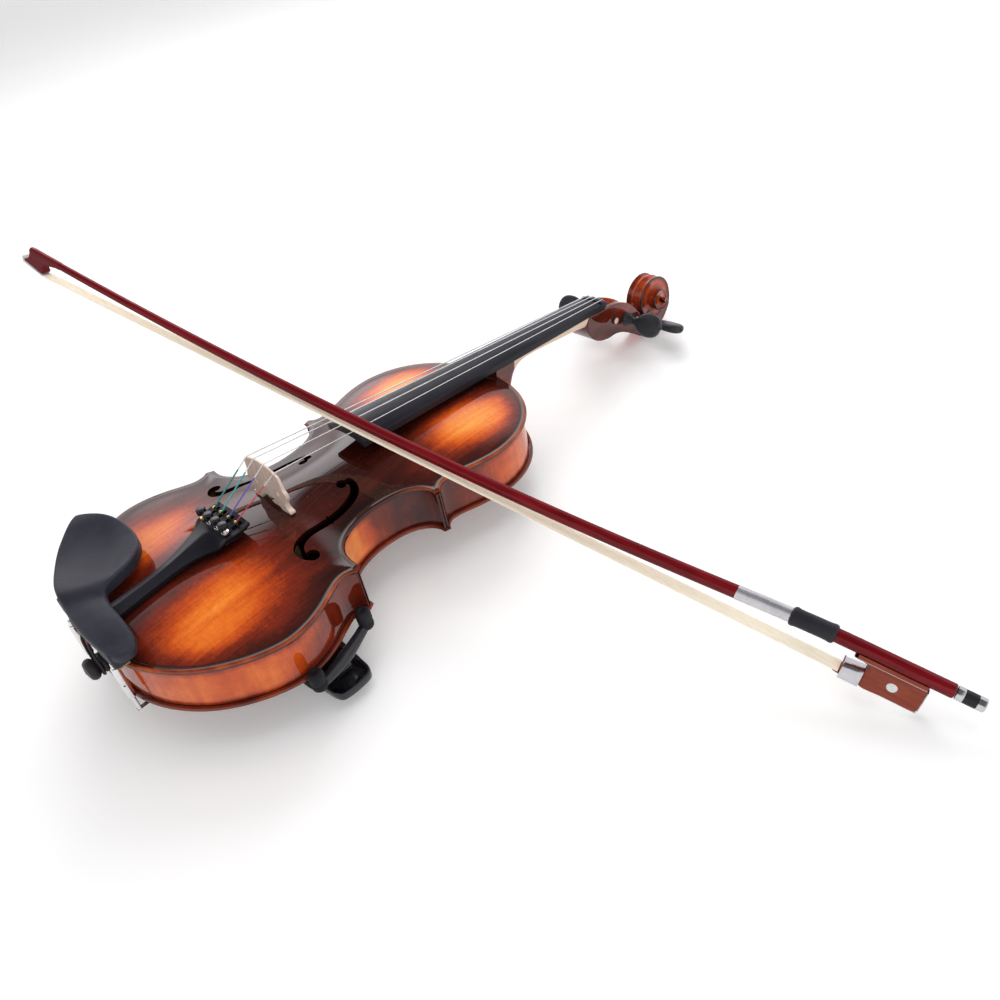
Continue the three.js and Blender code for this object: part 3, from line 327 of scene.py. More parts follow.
def make(name, mesh, material, slot=None, replaces=None, frame=VIOLIN, body="violin_body",
         angle=35.0, attrs=None, bevel=None, merge=True, ride=True):
    """An object from (points in mm, faces), placed by frame and riding on body."""
    verts, faces = mesh
    data = bpy.data.meshes.new(name)
    data.from_pydata([tuple(p) for p in np.asarray(verts, float) * MILLI], [],
                     [tuple(int(i) for i in face) for face in faces])
    data.update()
    for key, values in (attrs or {}).items():
        attribute = data.attributes.new(key, "FLOAT", "POINT")
        attribute.data.foreach_set("value", np.asarray(values, np.float32))
    work = bmesh.new()
    work.from_mesh(data)
    if merge:
        bmesh.ops.remove_doubles(work, verts=work.verts, dist=1e-6)
    bmesh.ops.recalc_face_normals(work, faces=work.faces)
    work.to_mesh(data)
    work.free()
    data.materials.append(material)
    shade_smooth(data, angle)
    data.update()
    piece = bpy.data.objects.new(name, data)
    bpy.context.scene.collection.objects.link(piece)
    piece.matrix_world = frame
    if bevel:
        add_bevel(piece, bevel, angle)
    if ride:
        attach(piece, body)
    if replaces:
        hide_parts(replaces)
    return piece


def cut(piece, mesh, frame=VIOLIN):
    """Takes the mesh out of the piece for good."""
    cutter = make("cutter", mesh, piece.data.materials[0], frame=frame, ride=False)
    boolean = piece.modifiers.new("cut", "BOOLEAN")
    boolean.operation = "DIFFERENCE"
    boolean.solver = "EXACT"
    boolean.object = cutter
    with bpy.context.temp_override(object=piece, active_object=piece, selected_objects=[piece]):
        bpy.ops.object.modifier_apply(modifier=boolean.name)
    bpy.data.objects.remove(cutter, do_unlink=True)
    shade_smooth(piece.data, 35)


# ------------------------------------------------------------------ solids, each (points, faces)
def grid_faces(rows, cols, wrap=True):
    """Quads between rows of cols points, the columns closed round when wrap is set."""
    faces = []
    for r in range(rows - 1):
        for c in range(cols if wrap else cols - 1):
            d = (c + 1) % cols
            faces.append((r * cols + c, r * cols + d, (r + 1) * cols + d, (r + 1) * cols + c))
    return faces


def skin(rings):
    """Closed skin through rings of equal count."""
    count = len(rings[0])
    faces = grid_faces(len(rings), count)
    faces.append(tuple(range(count))[::-1])
    faces.append(tuple((len(rings) - 1) * count + i for i in range(count)))
    return np.vstack([np.asarray(ring, float) for ring in rings]), faces


def combine(parts):
    verts, faces, offset = [], [], 0
    for part_verts, part_faces in parts:
        verts.append(np.asarray(part_verts, float))
        faces += [tuple(i + offset for i in face) for face in part_faces]
        offset += len(part_verts)
    return np.vstack(verts), faces


def mirror(mesh):
    """The mesh mirrored in x."""
    return mesh[0] * (-1, 1, 1), [face[::-1] for face in mesh[1]]


def stand(mesh):
    """Swaps y and z, so a slab drawn in plan stands upright."""
    return mesh[0][:, [0, 2, 1]], mesh[1]


def circle(count, radius=1.0, centre=(0, 0)):
    turn = np.linspace(0, 2 * np.pi, count, endpoint=False)
    return np.array(centre) + radius * np.c_[np.cos(turn), np.sin(turn)]


def tube(path, radius, sides=12, flat=1.0, facing=(0, 0, 1)):
    """Round or oval bar through points. flat scales its thickness toward facing."""
    path = np.asarray(path, float)
    ahead = np.gradient(path, axis=0)
    ahead /= np.linalg.norm(ahead, axis=1)[:, None]
    rings = []
    for point, reach, along in zip(path, np.broadcast_to(radius, (len(path),)), ahead):
        across = np.cross(along, facing)
        across /= np.linalg.norm(across)
        axes = np.array([across, flat * np.cross(across, along)])
        rings.append(point + reach * (circle(sides) @ axes))
    return skin(rings)


def turned(profile, origin, axis, sides=32):
    """Lathe work: profile is (radius, height) along axis from origin, with closed ends."""
    axis = np.asarray(axis, float)
    axis /= np.linalg.norm(axis)
    across = np.cross(axis, (0, 0, 1) if abs(axis[2]) < 0.9 else (1, 0, 0))
    across /= np.linalg.norm(across)
    ring = circle(sides) @ np.array([across, np.cross(axis, across)])
    return skin([np.asarray(origin, float) + axis * h + radius * ring for radius, h in profile])


def rounded_turned(profile, origin, axis, sides=32, fillet=0.5, steps=3):
    """Like turned, with every corner between the profile's ends rounded off."""
    points = np.array(profile, float)
    smooth = [points[0]]
    for before, corner, after in zip(points[:-2], points[1:-1], points[2:]):
        back, onward = before - corner, after - corner
        back_len, onward_len = np.linalg.norm(back), np.linalg.norm(onward)
        reach = min(fillet, back_len * 0.45, onward_len * 0.45)
        start, end = corner + back / back_len * reach, corner + onward / onward_len * reach
        for k in range(steps + 1):
            u = k / steps
            smooth.append((1 - u) ** 2 * start + 2 * u * (1 - u) * corner + u * u * end)
    smooth.append(points[-1])
    return turned(smooth, origin, axis, sides)


def prism(polygon, low, high, along_x=False):
    """Straight prism of an (x, y) polygon along z, or of a (y, z) polygon along x."""
    points = np.asarray(polygon, float)

    def ring(height):
        level = np.full((len(points), 1), height)
        return np.hstack([level, points] if along_x else [points, level])
    return skin([ring(low), ring(high)])


def box(xs, ys, zs):
    """Box between pairs of x, y and z."""
    return prism([(xs[0], ys[0]), (xs[1], ys[0]), (xs[1], ys[1]), (xs[0], ys[1])], *zs)


# ------------------------------------------------------------------ curves and plan outlines
def catmull(points, count, closed=False):
    """Centripetal Catmull-Rom curve through the points, count samples a segment."""
    points = np.array(points, float)
    if closed:
        padded = np.vstack([points[-1], points, points[0], points[1]])
    else:
        padded = np.vstack([2 * points[0] - points[1], points, 2 * points[-1] - points[-2]])
    curve = []
    for i in range(1, len(padded) - 2):
        near = padded[i - 1:i + 3]
        knots = [0]
        for gap in np.linalg.norm(np.diff(near, axis=0), axis=1):
            knots.append(knots[-1] + max(1e-9, gap) ** 0.5)
        for t in np.linspace(knots[1], knots[2], count, endpoint=False):
            def between(j, k, first, second):
                width = knots[k] - knots[j]
                return (knots[k] - t) / width * first + (t - knots[j]) / width * second
            level = [between(j, j + 1, near[j], near[j + 1]) for j in range(3)]
            level = [between(j, j + 2, level[j], level[j + 1]) for j in range(2)]
            curve.append(between(1, 2, *level))
    if not closed:
        curve.append(points[-1])
    return np.array(curve)


def resample(points, step, closed=False):
    """Evenly spaced points along a line, about step apart."""
    points = np.asarray(points, float)
    if closed:
        points = np.vstack([points, points[0]])
    reach = np.r_[0, np.cumsum(np.linalg.norm(np.diff(points, axis=0), axis=1))]
    places = np.linspace(0, reach[-1], max(3, int(round(reach[-1] / step))) + 1)
    line = np.stack([np.interp(places, reach, column) for column in points.T], 1)
    return line[:-1] if closed else line


def smooth_loop(points, count, step):
    return resample(catmull(points, count, closed=True), step, closed=True)


def between(start, end, first, last, count):
    """Points on the line from start to end, from the first fraction to the last."""
    return start + (end - start) * np.linspace(first, last, count)[:, None]


def inside(polygon, points):
    """Which points are inside the polygon."""
    polygon, points = np.asarray(polygon, float), np.asarray(points, float)
    x_a, y_a = polygon.T
    x_b, y_b = np.roll(x_a, -1), np.roll(y_a, -1)
    result = np.zeros(len(points), bool)
    for k in range(0, len(points), 4000):
        x, y = points[k:k + 4000, 0, None], points[k:k + 4000, 1, None]
        crosses = (y_a > y) != (y_b > y)
        with np.errstate(divide="ignore", invalid="ignore"):
            x_cross = (x_b - x_a) * (y - y_a) / (y_b - y_a) + x_a
        result[k:k + 4000] = (crosses & (x < x_cross)).sum(1) % 2 == 1
    return result


def distance(loop, points):
    """Distance from each point to the closed loop."""
    start = np.asarray(loop, float)
    edge = np.roll(start, -1, axis=0) - start
    square = np.maximum((edge * edge).sum(1), 1e-12)
    result = np.empty(len(points))
    for k in range(0, len(points), 1500):
        offset = np.asarray(points[k:k + 1500], float)[:, None] - start
        along = np.clip((offset * edge).sum(2) / square, 0, 1)
        gap = offset - along[..., None] * edge
        result[k:k + 1500] = np.sqrt((gap * gap).sum(2).min(1))
    return result


def loop_normals(loop):
    """Unit normals of a counter-clockwise loop, pointing in."""
    ahead = np.roll(loop, -1, axis=0) - np.roll(loop, 1, axis=0)
    ahead /= np.linalg.norm(ahead, axis=1)[:, None]
    return np.stack([-ahead[:, 1], ahead[:, 0]], 1)


def ccw(loop):
    """The loop in counter-clockwise order."""
    loop = np.asarray(loop, float)
    x, y = loop.T
    area_twice = (x * np.roll(y, -1) - np.roll(x, -1) * y).sum()
    return loop if area_twice > 0 else loop[::-1]


def plan_mesh(loop, holes, rings, grid):
    """Triangles that fill the loop less the holes.

    Rings are distances inside the loop at which points follow it; a staggered grid fills the rest.
    """
    loop = ccw(loop)
    normals = loop_normals(loop)
    fixed, edges, offset = [], [], 0
    for line in (loop, *holes):
        count = len(line)
        fixed.append(np.asarray(line, float))
        edges += [(offset + i, offset + (i + 1) % count) for i in range(count)]
        offset += count
    free = []
    for depth in rings:
        ring = loop + normals * depth
        free.append(ring[(distance(loop, ring) > 0.93 * depth) & inside(loop, ring)])
    low, high = loop.min(0), loop.max(0)
    x, y = np.meshgrid(np.arange(low[0], high[0], grid), np.arange(low[1], high[1], grid * 0.866))
    x = x + (np.arange(x.shape[0])[:, None] % 2) * grid / 2
    field = np.stack([x.ravel(), y.ravel()], 1)
    field = field[inside(loop, field)]
    free.append(field[distance(loop, field) > max(rings) + grid * 0.55])
    free = np.vstack(free)
    for hole in holes:
        free = free[(distance(hole, free) > 0.45) & ~inside(hole, free)]
    points = [Vector(p) for p in np.vstack([*fixed, free])]
    result = delaunay_2d_cdt(points, edges, [], 0, 1e-7)
    plan = np.array([tuple(p) for p in result[0]])
    tris = np.array(result[2])
    centres = plan[tris].mean(1)
    keep = inside(loop, centres)
    for hole in holes:
        keep &= ~inside(hole, centres)
    tris = tris[keep]
    used = np.unique(tris)
    number = -np.ones(len(plan), int)
    number[used] = np.arange(len(used))
    return plan[used], number[tris]


def soften_heights(plan, tris, heights, times):
    """Moves each height toward the mean of its neighbours, times over."""
    edges = np.vstack([tris[:, [0, 1]], tris[:, [1, 2]], tris[:, [2, 0]]])
    edges = np.vstack([edges, edges[:, ::-1]])
    count = np.maximum(np.bincount(edges[:, 0], minlength=len(plan)), 1)
    for _ in range(times):
        total = np.bincount(edges[:, 0], weights=heights[edges[:, 1]], minlength=len(plan))
        heights = 0.4 * heights + 0.6 * total / count
    return heights


def shell(plan, tris, top, bottom, shared=None):
    """Closed solid between two heights over one plan mesh.

    Points marked shared serve both faces; other open edges get walls. Also returns the plan point
    behind each vertex.
    """
    count = len(plan)
    free = np.ones(count, bool) if shared is None else ~shared
    low = np.arange(count)
    low[free] = count + np.arange(free.sum())
    verts = np.vstack([np.c_[plan, top], np.c_[plan[free], bottom[free]]])
    faces = [tuple(t) for t in tris] + [tuple(low[t[::-1]]) for t in tris]
    edges = {}
    for a, b, c in tris:
        for edge in ((a, b), (b, c), (c, a)):
            edges[edge] = True
    for a, b in edges:
        if (b, a) not in edges and (free[a] or free[b]):
            faces.append((b, a, low[a], low[b]))
    return verts, faces, np.r_[np.arange(count), np.where(free)[0]]


def slab_plan(loop, half_thickness, rim, grid, holes=(), centre=0.0):
    """Plan mesh and the two face heights of a slab whose rims are rounded to rim."""
    rings = [rim * k for k in (0.06, 0.22, 0.5, 1.0)] + [rim * 2.2]
    plan, tris = plan_mesh(loop, holes, rings, grid)
    gap = distance(loop, plan)
    for hole in holes:
        gap = np.minimum(gap, distance(hole, plan))
    drop = rim * (1 - np.sqrt(np.maximum(0, 1 - (1 - np.clip(gap / rim, 0, 1)) ** 2)))
    half_height = half_thickness(plan)
    return plan, tris, centre + half_height - drop, centre - half_height + drop


def slab(loop, half_thickness, **options):
    """Solid cut from a plan outline, half_thickness(points) each way from its centre plane."""
    return shell(*slab_plan(ccw(loop), half_thickness, **options))[:2]


# ------------------------------------------------------------------ body outline and arching
BODY, LOWER_CORNER, UPPER_CORNER = 355.0, 144.8, 226.6  # y of the neck end and of the corners
# treble half of the outline as (x, y), before fit_outline
LOWER = [(0, 0), (14, 0.4), (30, 2.6), (46, 7.6), (62, 16), (77, 28), (89.5, 43.5), (98.5, 60),
         (103, 76), (102.6, 91), (98.2, 106), (92.6, 117.5), (89.3, 126), (89.6, 132), (92.6, 137)]
WAIST = [(90, 142), (83, 141.6), (74.5, 143), (66.5, 147.6), (60.3, 155.6), (56.6, 166), (55, 178),
         (55.2, 190), (57, 201), (61, 210), (67.2, 216.2), (74.4, 218.9), (79, 219)]
UPPER = [(80.6, 224), (76.2, 227.6), (74, 233), (74.6, 240), (77.6, 250), (81, 262), (83.4, 275),
         (83.9, 288), (81.6, 302), (76.4, 315.5), (68, 328), (56.4, 339), (42.5, 347.4),
         (28, 352.6), (14, 355), (0, 355.5)]


def fit_outline(point):
    """Stretches an outline point to the body's own widths and corner places."""
    x, y = point
    widen = np.interp(y, [0, 75, 139.5, 180, 221, 288, 355.5],
                      [1.045, 1.045, 1.0125, 0.98, 0.9915, 1.003, 1.003])
    return (x * widen,
            np.interp(y, [0, 139.5, 221, 355.5], [0, LOWER_CORNER, UPPER_CORNER, BODY]))


lower_run, waist_run, upper_run = (catmull([fit_outline(p) for p in run], 8)
                                   for run in (LOWER, WAIST, UPPER))
lower_run[0] = (0, 0)
upper_run[-1] = (0, BODY)
half = np.vstack([resample(lower_run, 1.6), resample(waist_run, 1.5), resample(upper_run, 1.6)])
half[0, 0] = half[-1, 0] = 0
outline = np.vstack([half, (half[1:-1] * (-1, 1))[::-1]])


def crown(y, arch):
    """Height of the arching along the middle line."""
    rise = np.maximum(0, np.sin(np.pi * (0.11 + 0.78 * (y - 10) / 335))) ** 0.75
    return 1.36 + (arch - 1.36) * rise


def swell(t):
    """Rise of the arching from the edge (0) to the middle line (1)."""
    return np.where(t < 0.1, 0, np.sin(np.pi / 2 * np.clip((t - 0.1) / 0.9, 0, 1)) ** 1.25)


EDGE_THICK = 4.0  # height of the arching where it meets the edge


def raw_arch(points, arch):
    """Height of the arched face before softening, without its edge work."""
    points = points * (np.where(points[:, :1] < 0, -1, 1), 1)[0] if False else np.c_[
        np.abs(points[:, 0]), points[:, 1]]
    spine = np.c_[np.zeros(len(half)), np.clip(half[:, 1], 26, 326)]
    inward = spine - half
    square = (inward * inward).sum(1)
    heights = np.empty(len(points))
    for k in range(0, len(points), 2000):
        offset = points[k:k + 2000, None] - half
        along = np.clip((offset * inward).sum(2) / square, 0, 1)
        nearest = ((offset - along[..., None] * inward) ** 2).sum(2).argmin(1)
        rise = swell(along[np.arange(len(nearest)), nearest])
        heights[k:k + 2000] = EDGE_THICK + (crown(spine[nearest, 1], arch) - EDGE_THICK) * rise
    return heights


def smooth_arch(points, arch):
    """The arching laid on a grid, softened, and read back at the points."""
    step, sigma, reach = 2.5, 2.6, 8  # grid step in mm; blur width and reach in steps
    grid_x, grid_y = np.arange(-125, 125.1, step), np.arange(-20, 380.1, step)
    x, y = np.meshgrid(grid_x, grid_y)
    cells = np.c_[x.ravel(), y.ravel()]
    z = np.full(len(cells), EDGE_THICK)
    within = inside(outline, cells)
    z[within] = raw_arch(cells[within], arch)
    z = z.reshape(x.shape)
    kernel = np.exp(-0.5 * (np.arange(-reach, reach + 1) / sigma) ** 2)
    kernel /= kernel.sum()
    for axis in (0, 1):
        z = np.apply_along_axis(
            lambda row: np.convolve(np.pad(row, reach, "edge"), kernel, "valid"), axis, z)
    col = np.clip((points[:, 0] - grid_x[0]) / step, 0, len(grid_x) - 1.001)
    row = np.clip((points[:, 1] - grid_y[0]) / step, 0, len(grid_y) - 1.001)
    i, j = col.astype(int), row.astype(int)
    u, v = col - i, row - j
    # the edge still falls a little, so no flat shelf is left inside the purfling
    fall = 1.5 * (1 - np.exp(-np.clip(distance(outline, points), 0, 60) / 11.0))
    return fall - 0.9 + (z[j, i] * (1 - u) * (1 - v) + z[j, i + 1] * u * (1 - v)
                         + z[j + 1, i] * (1 - u) * v + z[j + 1, i + 1] * u * v)


# ------------------------------------------------------------------ top and back plates
# edge work: distances from the edge, and heights there added to the face and of the underside
BEAD_GAP = [0, 0.12, 0.35, 0.8, 1.3, 1.8, 2.25, 2.7, 3.6, 5.2, 7.5, 10.5]
BEAD_Z = [-1.95, -1.35, -0.72, -0.10, 0.14, 0.10, -0.14, -0.34, -0.40, -0.27, -0.10, 0]
UNDER_GAP = [0, 0.1, 0.35, 1.0, 2.0]
UNDER_Z = [2.05, 1.2, 0.55, 0.1, 0]
PLATE_RINGS = (0.1, 0.35, 1.0, 2.0, 3.2, 4.6, 6.2, 8.2, 11)
BACK_Z = -31.0  # joint of the ribs and the back

# treble sound hole: stem outline, round eyes and nicks, as (x, y)
STEM = [(22.6, 189.4), (27.4, 190.6), (32.0, 187.4), (35.4, 181), (37.9, 172), (39.6, 161),
        (41.0, 149), (42.4, 138), (45.6, 129.6), (51.4, 124.8), (58.5, 124.6), (63.6, 127.6),
        (62.0, 129.4), (56.6, 130.0), (51.6, 133.0), (48.6, 139.4), (46.9, 149), (45.6, 161),
        (43.6, 173), (40.6, 184), (36.2, 191.8), (29.4, 195.8), (22.6, 195.0)]
EYES = [(3.7, (23.2, 187.4)), (4.8, (61.6, 131.8))]  # radius, centre
NICKS = [[(38.3, 162.0), (38.5, 160.0), (40.4, 160.9)], [(46.9, 160.2), (45.0, 161.4), (45.0, 159.0)]]


def sound_hole(side):
    """Loops of one sound hole."""
    shapes = [ccw(catmull(STEM, 5, closed=True))]
    shapes += [circle(28, radius, centre) for radius, centre in EYES]
    shapes += [np.array(nick) for nick in NICKS]
    return [ccw(shape * (side, 1)) for shape in shapes]


def tone_top(points):
    """Sunburst: 0 is the darkest varnish, 1 the brightest."""
    x, y = points.T
    tone = np.full(len(points), 0.25)
    # bright lobes, mirrored in x: centre, reaches, amount, tilt
    for centre_x, centre_y, reach_x, reach_y, amount, tilt in (
            (52, 68, 34, 46, 0.54, 0.18), (44, 296, 24, 38, 0.70, -0.1), (70, 30, 40, 24, 0.12, 0)):
        across, along = np.abs(x) - centre_x, y - centre_y
        u = across * math.cos(tilt) + along * math.sin(tilt)
        v = -across * math.sin(tilt) + along * math.cos(tilt)
        tone = tone + amount * np.exp(-(((u / reach_x) ** 2 + (v / reach_y) ** 2) ** 1.3))
    k = np.clip((distance(outline, points) - 4) / 16, 0, 1)
    tone = tone * (0.62 + 0.38 * k * k * (3 - 2 * k))
    # the waist, the middle and the lower bass side carry darker varnish
    tone = (tone - 0.12 * np.exp(-((y - 180) / 50) ** 2)
            - 0.05 * (x < 0) * np.exp(-((y - 90) / 60) ** 2))
    middle = np.clip(np.abs(x) / 26, 0, 1)
    return np.clip(tone * (0.55 + 0.45 * middle * middle), 0, 1)


def tone_back(points):
    x, y = points.T
    tone = (0.2 + 0.42 * np.exp(-((x / 52) ** 2 + ((y - 85) / 62) ** 2) ** 1.3)
            + 0.42 * np.exp(-((x / 42) ** 2 + ((y - 290) / 45) ** 2) ** 1.3)
            + 0.22 * np.exp(-((x / 30) ** 2 + ((y - 185) / 70) ** 2)))
    k = np.clip((distance(outline, points) - 3) / 22, 0, 1)
    return np.clip(tone * k * k * (3 - 2 * k), 0, 1)


def plate(name, replaces, slot, material, loop, arch, tone, holes=(), facing=1, joint=0.0):
    """Carved plate; facing is 1 or -1 in z. Returns its plan points and arching heights."""
    plan, tris = plan_mesh(loop, holes, PLATE_RINGS, 2.6)
    gap = distance(loop, plan)
    on_edge = gap < 1e-4
    base = smooth_arch(plan, arch)
    top = np.where(on_edge, UNDER_Z[0], base + np.interp(gap, BEAD_GAP, BEAD_Z))
    within_ribs = np.clip((gap - 4.2) / 8, 0, 1)
    low = np.where(gap < 2.0, np.interp(gap, UNDER_GAP, UNDER_Z), 0)
    low = np.where(gap > 4.6, np.maximum(0.02, (base - 3.1) * within_ribs), low)
    verts, faces, source = shell(plan, tris, top, low, on_edge)
    verts[:, 2] = verts[:, 2] * facing + joint
    # painted shade: the underside and the walls of the sound holes take the darkest tone, standing in
    # for the dark inside of the body
    on_face = np.arange(len(source)) < len(plan)
    make(name, (verts, faces), material, slot, replaces, angle=50, merge=False,
         attrs={"tone": np.where(on_face, tone(plan)[source], -0.6),
                "edge": np.minimum(gap, 30)[source]})
    return plan, base


def button_loop():
    """The body outline with the round button of the back at the neck."""
    turn = np.linspace(0.36, np.pi - 0.36, 26)
    side = half[~((np.abs(half[:, 0]) < 10.6) & (half[:, 1] > 300))]
    button = np.c_[11.2 * np.cos(turn), 350 + 14.5 * np.sin(turn)]
    return np.vstack([side, button, (side[1:] * (-1, 1))[::-1]])


top_plan, top_base = plate("carved_top", "top_plate", "varnished_spruce", spruce_material(),
                           outline, arch=15.5, tone=tone_top,
                           holes=sound_hole(1) + sound_hole(-1))
plate("carved_back", "back_plate", "varnished_maple",
      maple_material("varnished_maple_back", flame=(14, 150, 20), fibre=(900, 60, 600)),
      button_loop(), arch=15.0, tone=tone_back, facing=-1, joint=BACK_Z)


def height_top(x, y):
    """Height of the top's arching at one plan point, from its six nearest points."""
    square = (top_plan[:, 0] - x) ** 2 + (top_plan[:, 1] - y) ** 2
    nearest = np.argsort(square)[:6]
    weight = 1 / (square[nearest] + 0.05)
    return float((top_base[nearest] * weight).sum() / weight.sum())


# ------------------------------------------------------------------ ribs
def inset_run(run, depth):
    ahead = np.gradient(run, axis=0)
    ahead /= np.linalg.norm(ahead, axis=1)[:, None]
    return run + depth * np.c_[-ahead[:, 1], ahead[:, 0]]


M_RIB = maple_material("varnished_maple_rib", flame=(110, 110, 9), fibre=(60, 900, 600),
                       offset=-0.03, gain=0.34)
RIB_LEVELS = [-30.9, -29.5, -26, -22, -18, -14, -10, -6, -3, -1.4, -0.1]
# name, run, least x, and the varnish's brightness along it as (fractions of length, amounts)
RIBS = [("lower", lower_run, 0.15,
         ([0, 0.12, 0.3, 0.62, 0.74, 0.9, 1], [0.25, 0.55, 1.0, 1.0, 0.5, 0.12, 0.0])),
        ("waist", waist_run, 0,
         ([0, 0.06, 0.16, 0.42, 0.54, 0.72, 1], [0.3, 0.9, 1.7, 1.45, 0.5, 0.0, 0.0])),
        ("upper", upper_run, 14.6,
         ([0, 0.1, 0.25, 0.4, 0.8, 0.92, 1], [0.0, 0.08, 0.4, 1.0, 1.0, 0.5, 0.3]))]


def rib(name, run, side, least_x, light):
    run = resample(run, 1.5)
    outer, inner = (line[line[:, 0] >= least_x]
                    for line in (inset_run(run, 3.0), inset_run(run, 4.5)))
    count = min(len(outer), len(inner))
    outer, inner = outer[:count], inner[:count]
    reach = np.r_[0, np.cumsum(np.linalg.norm(np.diff(outer, axis=0), axis=1))]
    amount = np.interp(reach / reach[-1], *light)
    rows, tone = [], []
    for z in RIB_LEVELS:
        rows.append(np.c_[outer * (side, 1), np.full(count, z)])
        k = np.clip(min(z - BACK_Z, -z) / 5.0, 0, 1)
        tone.append(0.27 + 0.42 * amount * (0.35 + 0.65 * k))
    for z in (RIB_LEVELS[-1], RIB_LEVELS[0]):
        rows.append(np.c_[inner * (side, 1), np.full(count, z)])
        tone.append(np.full(count, 0.2))
    verts = np.vstack(rows)
    last = (len(rows) - 1) * count
    faces = grid_faces(len(rows), count, wrap=False)
    faces += [(last + c, last + c + 1, c + 1, c) for c in range(count - 1)]
    faces.append(tuple(r * count for r in range(len(rows)))[::-1])
    faces.append(tuple(r * count + count - 1 for r in range(len(rows))))
    make("bent_" + name, (verts, faces), M_RIB, "varnished_maple", name, angle=40, merge=False,
         attrs={"tone": np.concatenate(tone), "edge": np.full(len(verts), 20.0)})


for side_name, side in SIDES:
    for bout, run, least_x, light in RIBS:
        rib(f"rib_{bout}_{side_name}", run, side, least_x, light)


def inset_bouts(depth):
    return [inset_run(resample(run, 1.5), depth) for run in (lower_run, waist_run, upper_run)]


# the mitred rib corners, closed by a narrow cap
M_CAP = plain_varnish("varnished_corner", tone=0.02)
lower_in, waist_in, upper_in = inset_bouts(2.7)
for side_name, side in SIDES:
    for corner, first, second in (("lower", lower_in[-1], waist_in[0]),
                                  ("upper", waist_in[-1], upper_in[0])):
        across = second - first
        polygon = np.array([first - across * 0.08, (first + second) / 2 + (1.3, 0),
                            second + across * 0.08, second + (-2.0, 0), first + (-2.0, 0)])
        cap = prism(polygon * (side, 1), RIB_LEVELS[0], RIB_LEVELS[-1])
        make(f"rib_corner_{corner}_{side_name}", cap, M_CAP, "varnished_maple",
             attrs={"tone": np.full(len(cap[0]), 0.12)}, angle=30, bevel=0.35)

# ------------------------------------------------------------------ corner blocks; other inner wood
M_RAW = wood_material("raw_softwood", dark=(0.50, 0.33, 0.17), light=(0.68, 0.50, 0.29),
                      stretch=(120, 120, 9), rough=0.75)


def corner_blocks():
    lower, waist, upper = inset_bouts(5.0)
    blocks = {
        "lower": [lower[(lower[:, 1] > 127) & (lower[:, 1] < 141.2) & (lower[:, 0] > 70)],
                  waist[(waist[:, 1] < 160) & (waist[:, 0] < 87.6) & (waist[:, 0] > 77)]],
        "upper": [waist[(waist[:, 1] > 208) & (waist[:, 0] < 75.2)],
                  upper[(upper[:, 1] < 243) & (upper[:, 1] > 229)]]}
    for corner, lines in blocks.items():
        for side_name, side in SIDES:
            node = f"corner_block_{corner}_{side_name}"
            make(node + "_wood", prism(ccw(np.vstack(lines) * (side, 1)), -30.8, -0.2), M_RAW,
                 "raw_softwood", node, angle=30)


corner_blocks()
# these keep the shapes they were loaded with
for node in ("end_block", "neck_block", "bass_bar", "sound_post"):
    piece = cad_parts[node]
    piece.data.materials.clear()
    piece.data.materials.append(M_RAW)

# ------------------------------------------------------------------ fingerboard lines and neck
BOARD_Y, NUT_Y = 215.0, 485.0   # ends of the fingerboard
BOARD_WIDE, BOARD_NARROW = 42.6, 24.0
BOARD_RADIUS = 42.0


def board_width(y):
    return BOARD_NARROW + (BOARD_WIDE - BOARD_NARROW) * (NUT_Y - y) / (NUT_Y - BOARD_Y)


def sag(x):
    """Fall of the playing surface away from its middle line."""
    return BOARD_RADIUS - np.sqrt(BOARD_RADIUS ** 2 - np.asarray(x, float) ** 2)


def board_top(y):
    return 42.5 - 0.1185 * (y - 160.5)


under_start, under_end = (board_top(y) - sag(board_width(y) / 2) - 5.0 for y in (BOARD_Y, NUT_Y))


def board_under(y):
    return under_start + (under_end - under_start) * (y - BOARD_Y) / (NUT_Y - BOARD_Y)


# stations: y, z of the underside, taper toward it, power of the section's curve
NECK = [(350.7, -30.9, 0.34, 5), (357.0, -30.9, 0.34, 5), (361.0, -30.6, 0.32, 4.8),
        (364.5, -27.5, 0.3, 4.4), (367.5, -17, 0.2, 3.6), (371.5, -7.5, 0.12, 3),
        (378, -0.6, 0.06, 2.5), (388, 1.6, 0.02, 2.3), (425, -4.4, 0, 2.2), (458, -10.6, 0, 2.2),
        (466, -13.2, 0, 2.3), (474, -20, 0, 2.6)]


def neck_ring(y, bottom, taper, power):
    """D-shaped section, flat under the fingerboard."""
    turn = np.pi * np.arange(31) / 30
    cosine = np.cos(turn)
    depth = np.maximum(np.sin(turn), 0) ** (2 / power)
    width = board_width(y) / 2 - 0.15
    top = board_under(y) - 0.1
    x = width * np.sign(cosine) * np.abs(cosine) ** (2 / power) * (1 - taper * depth)
    return np.c_[x, np.full(31, y), top - (top - bottom) * depth]


M_HEAD = plain_varnish("varnished_maple_head", tone=0.12)
M_NECK = wood_material("raw_maple", dark=(0.66, 0.46, 0.33), light=(0.86, 0.68, 0.54),
                       stretch=(260, 14, 260), rough=0.5, contrast=(0.3, 0.7), bump=0.08)
track = catmull(NECK, 7)
heel = skin([neck_ring(*station) for station in track if station[0] <= 371.6])
make("neck_heel", heel, M_HEAD, "varnished_maple",
     attrs={"tone": np.full(len(heel[0]), 0.19)}, angle=55)
shaft = skin([neck_ring(*station) for station in track if 371.4 <= station[0] <= 467.5])
make("neck_shaft", shaft, M_NECK, "varnished_maple", "neck_pegbox_scroll", angle=55)

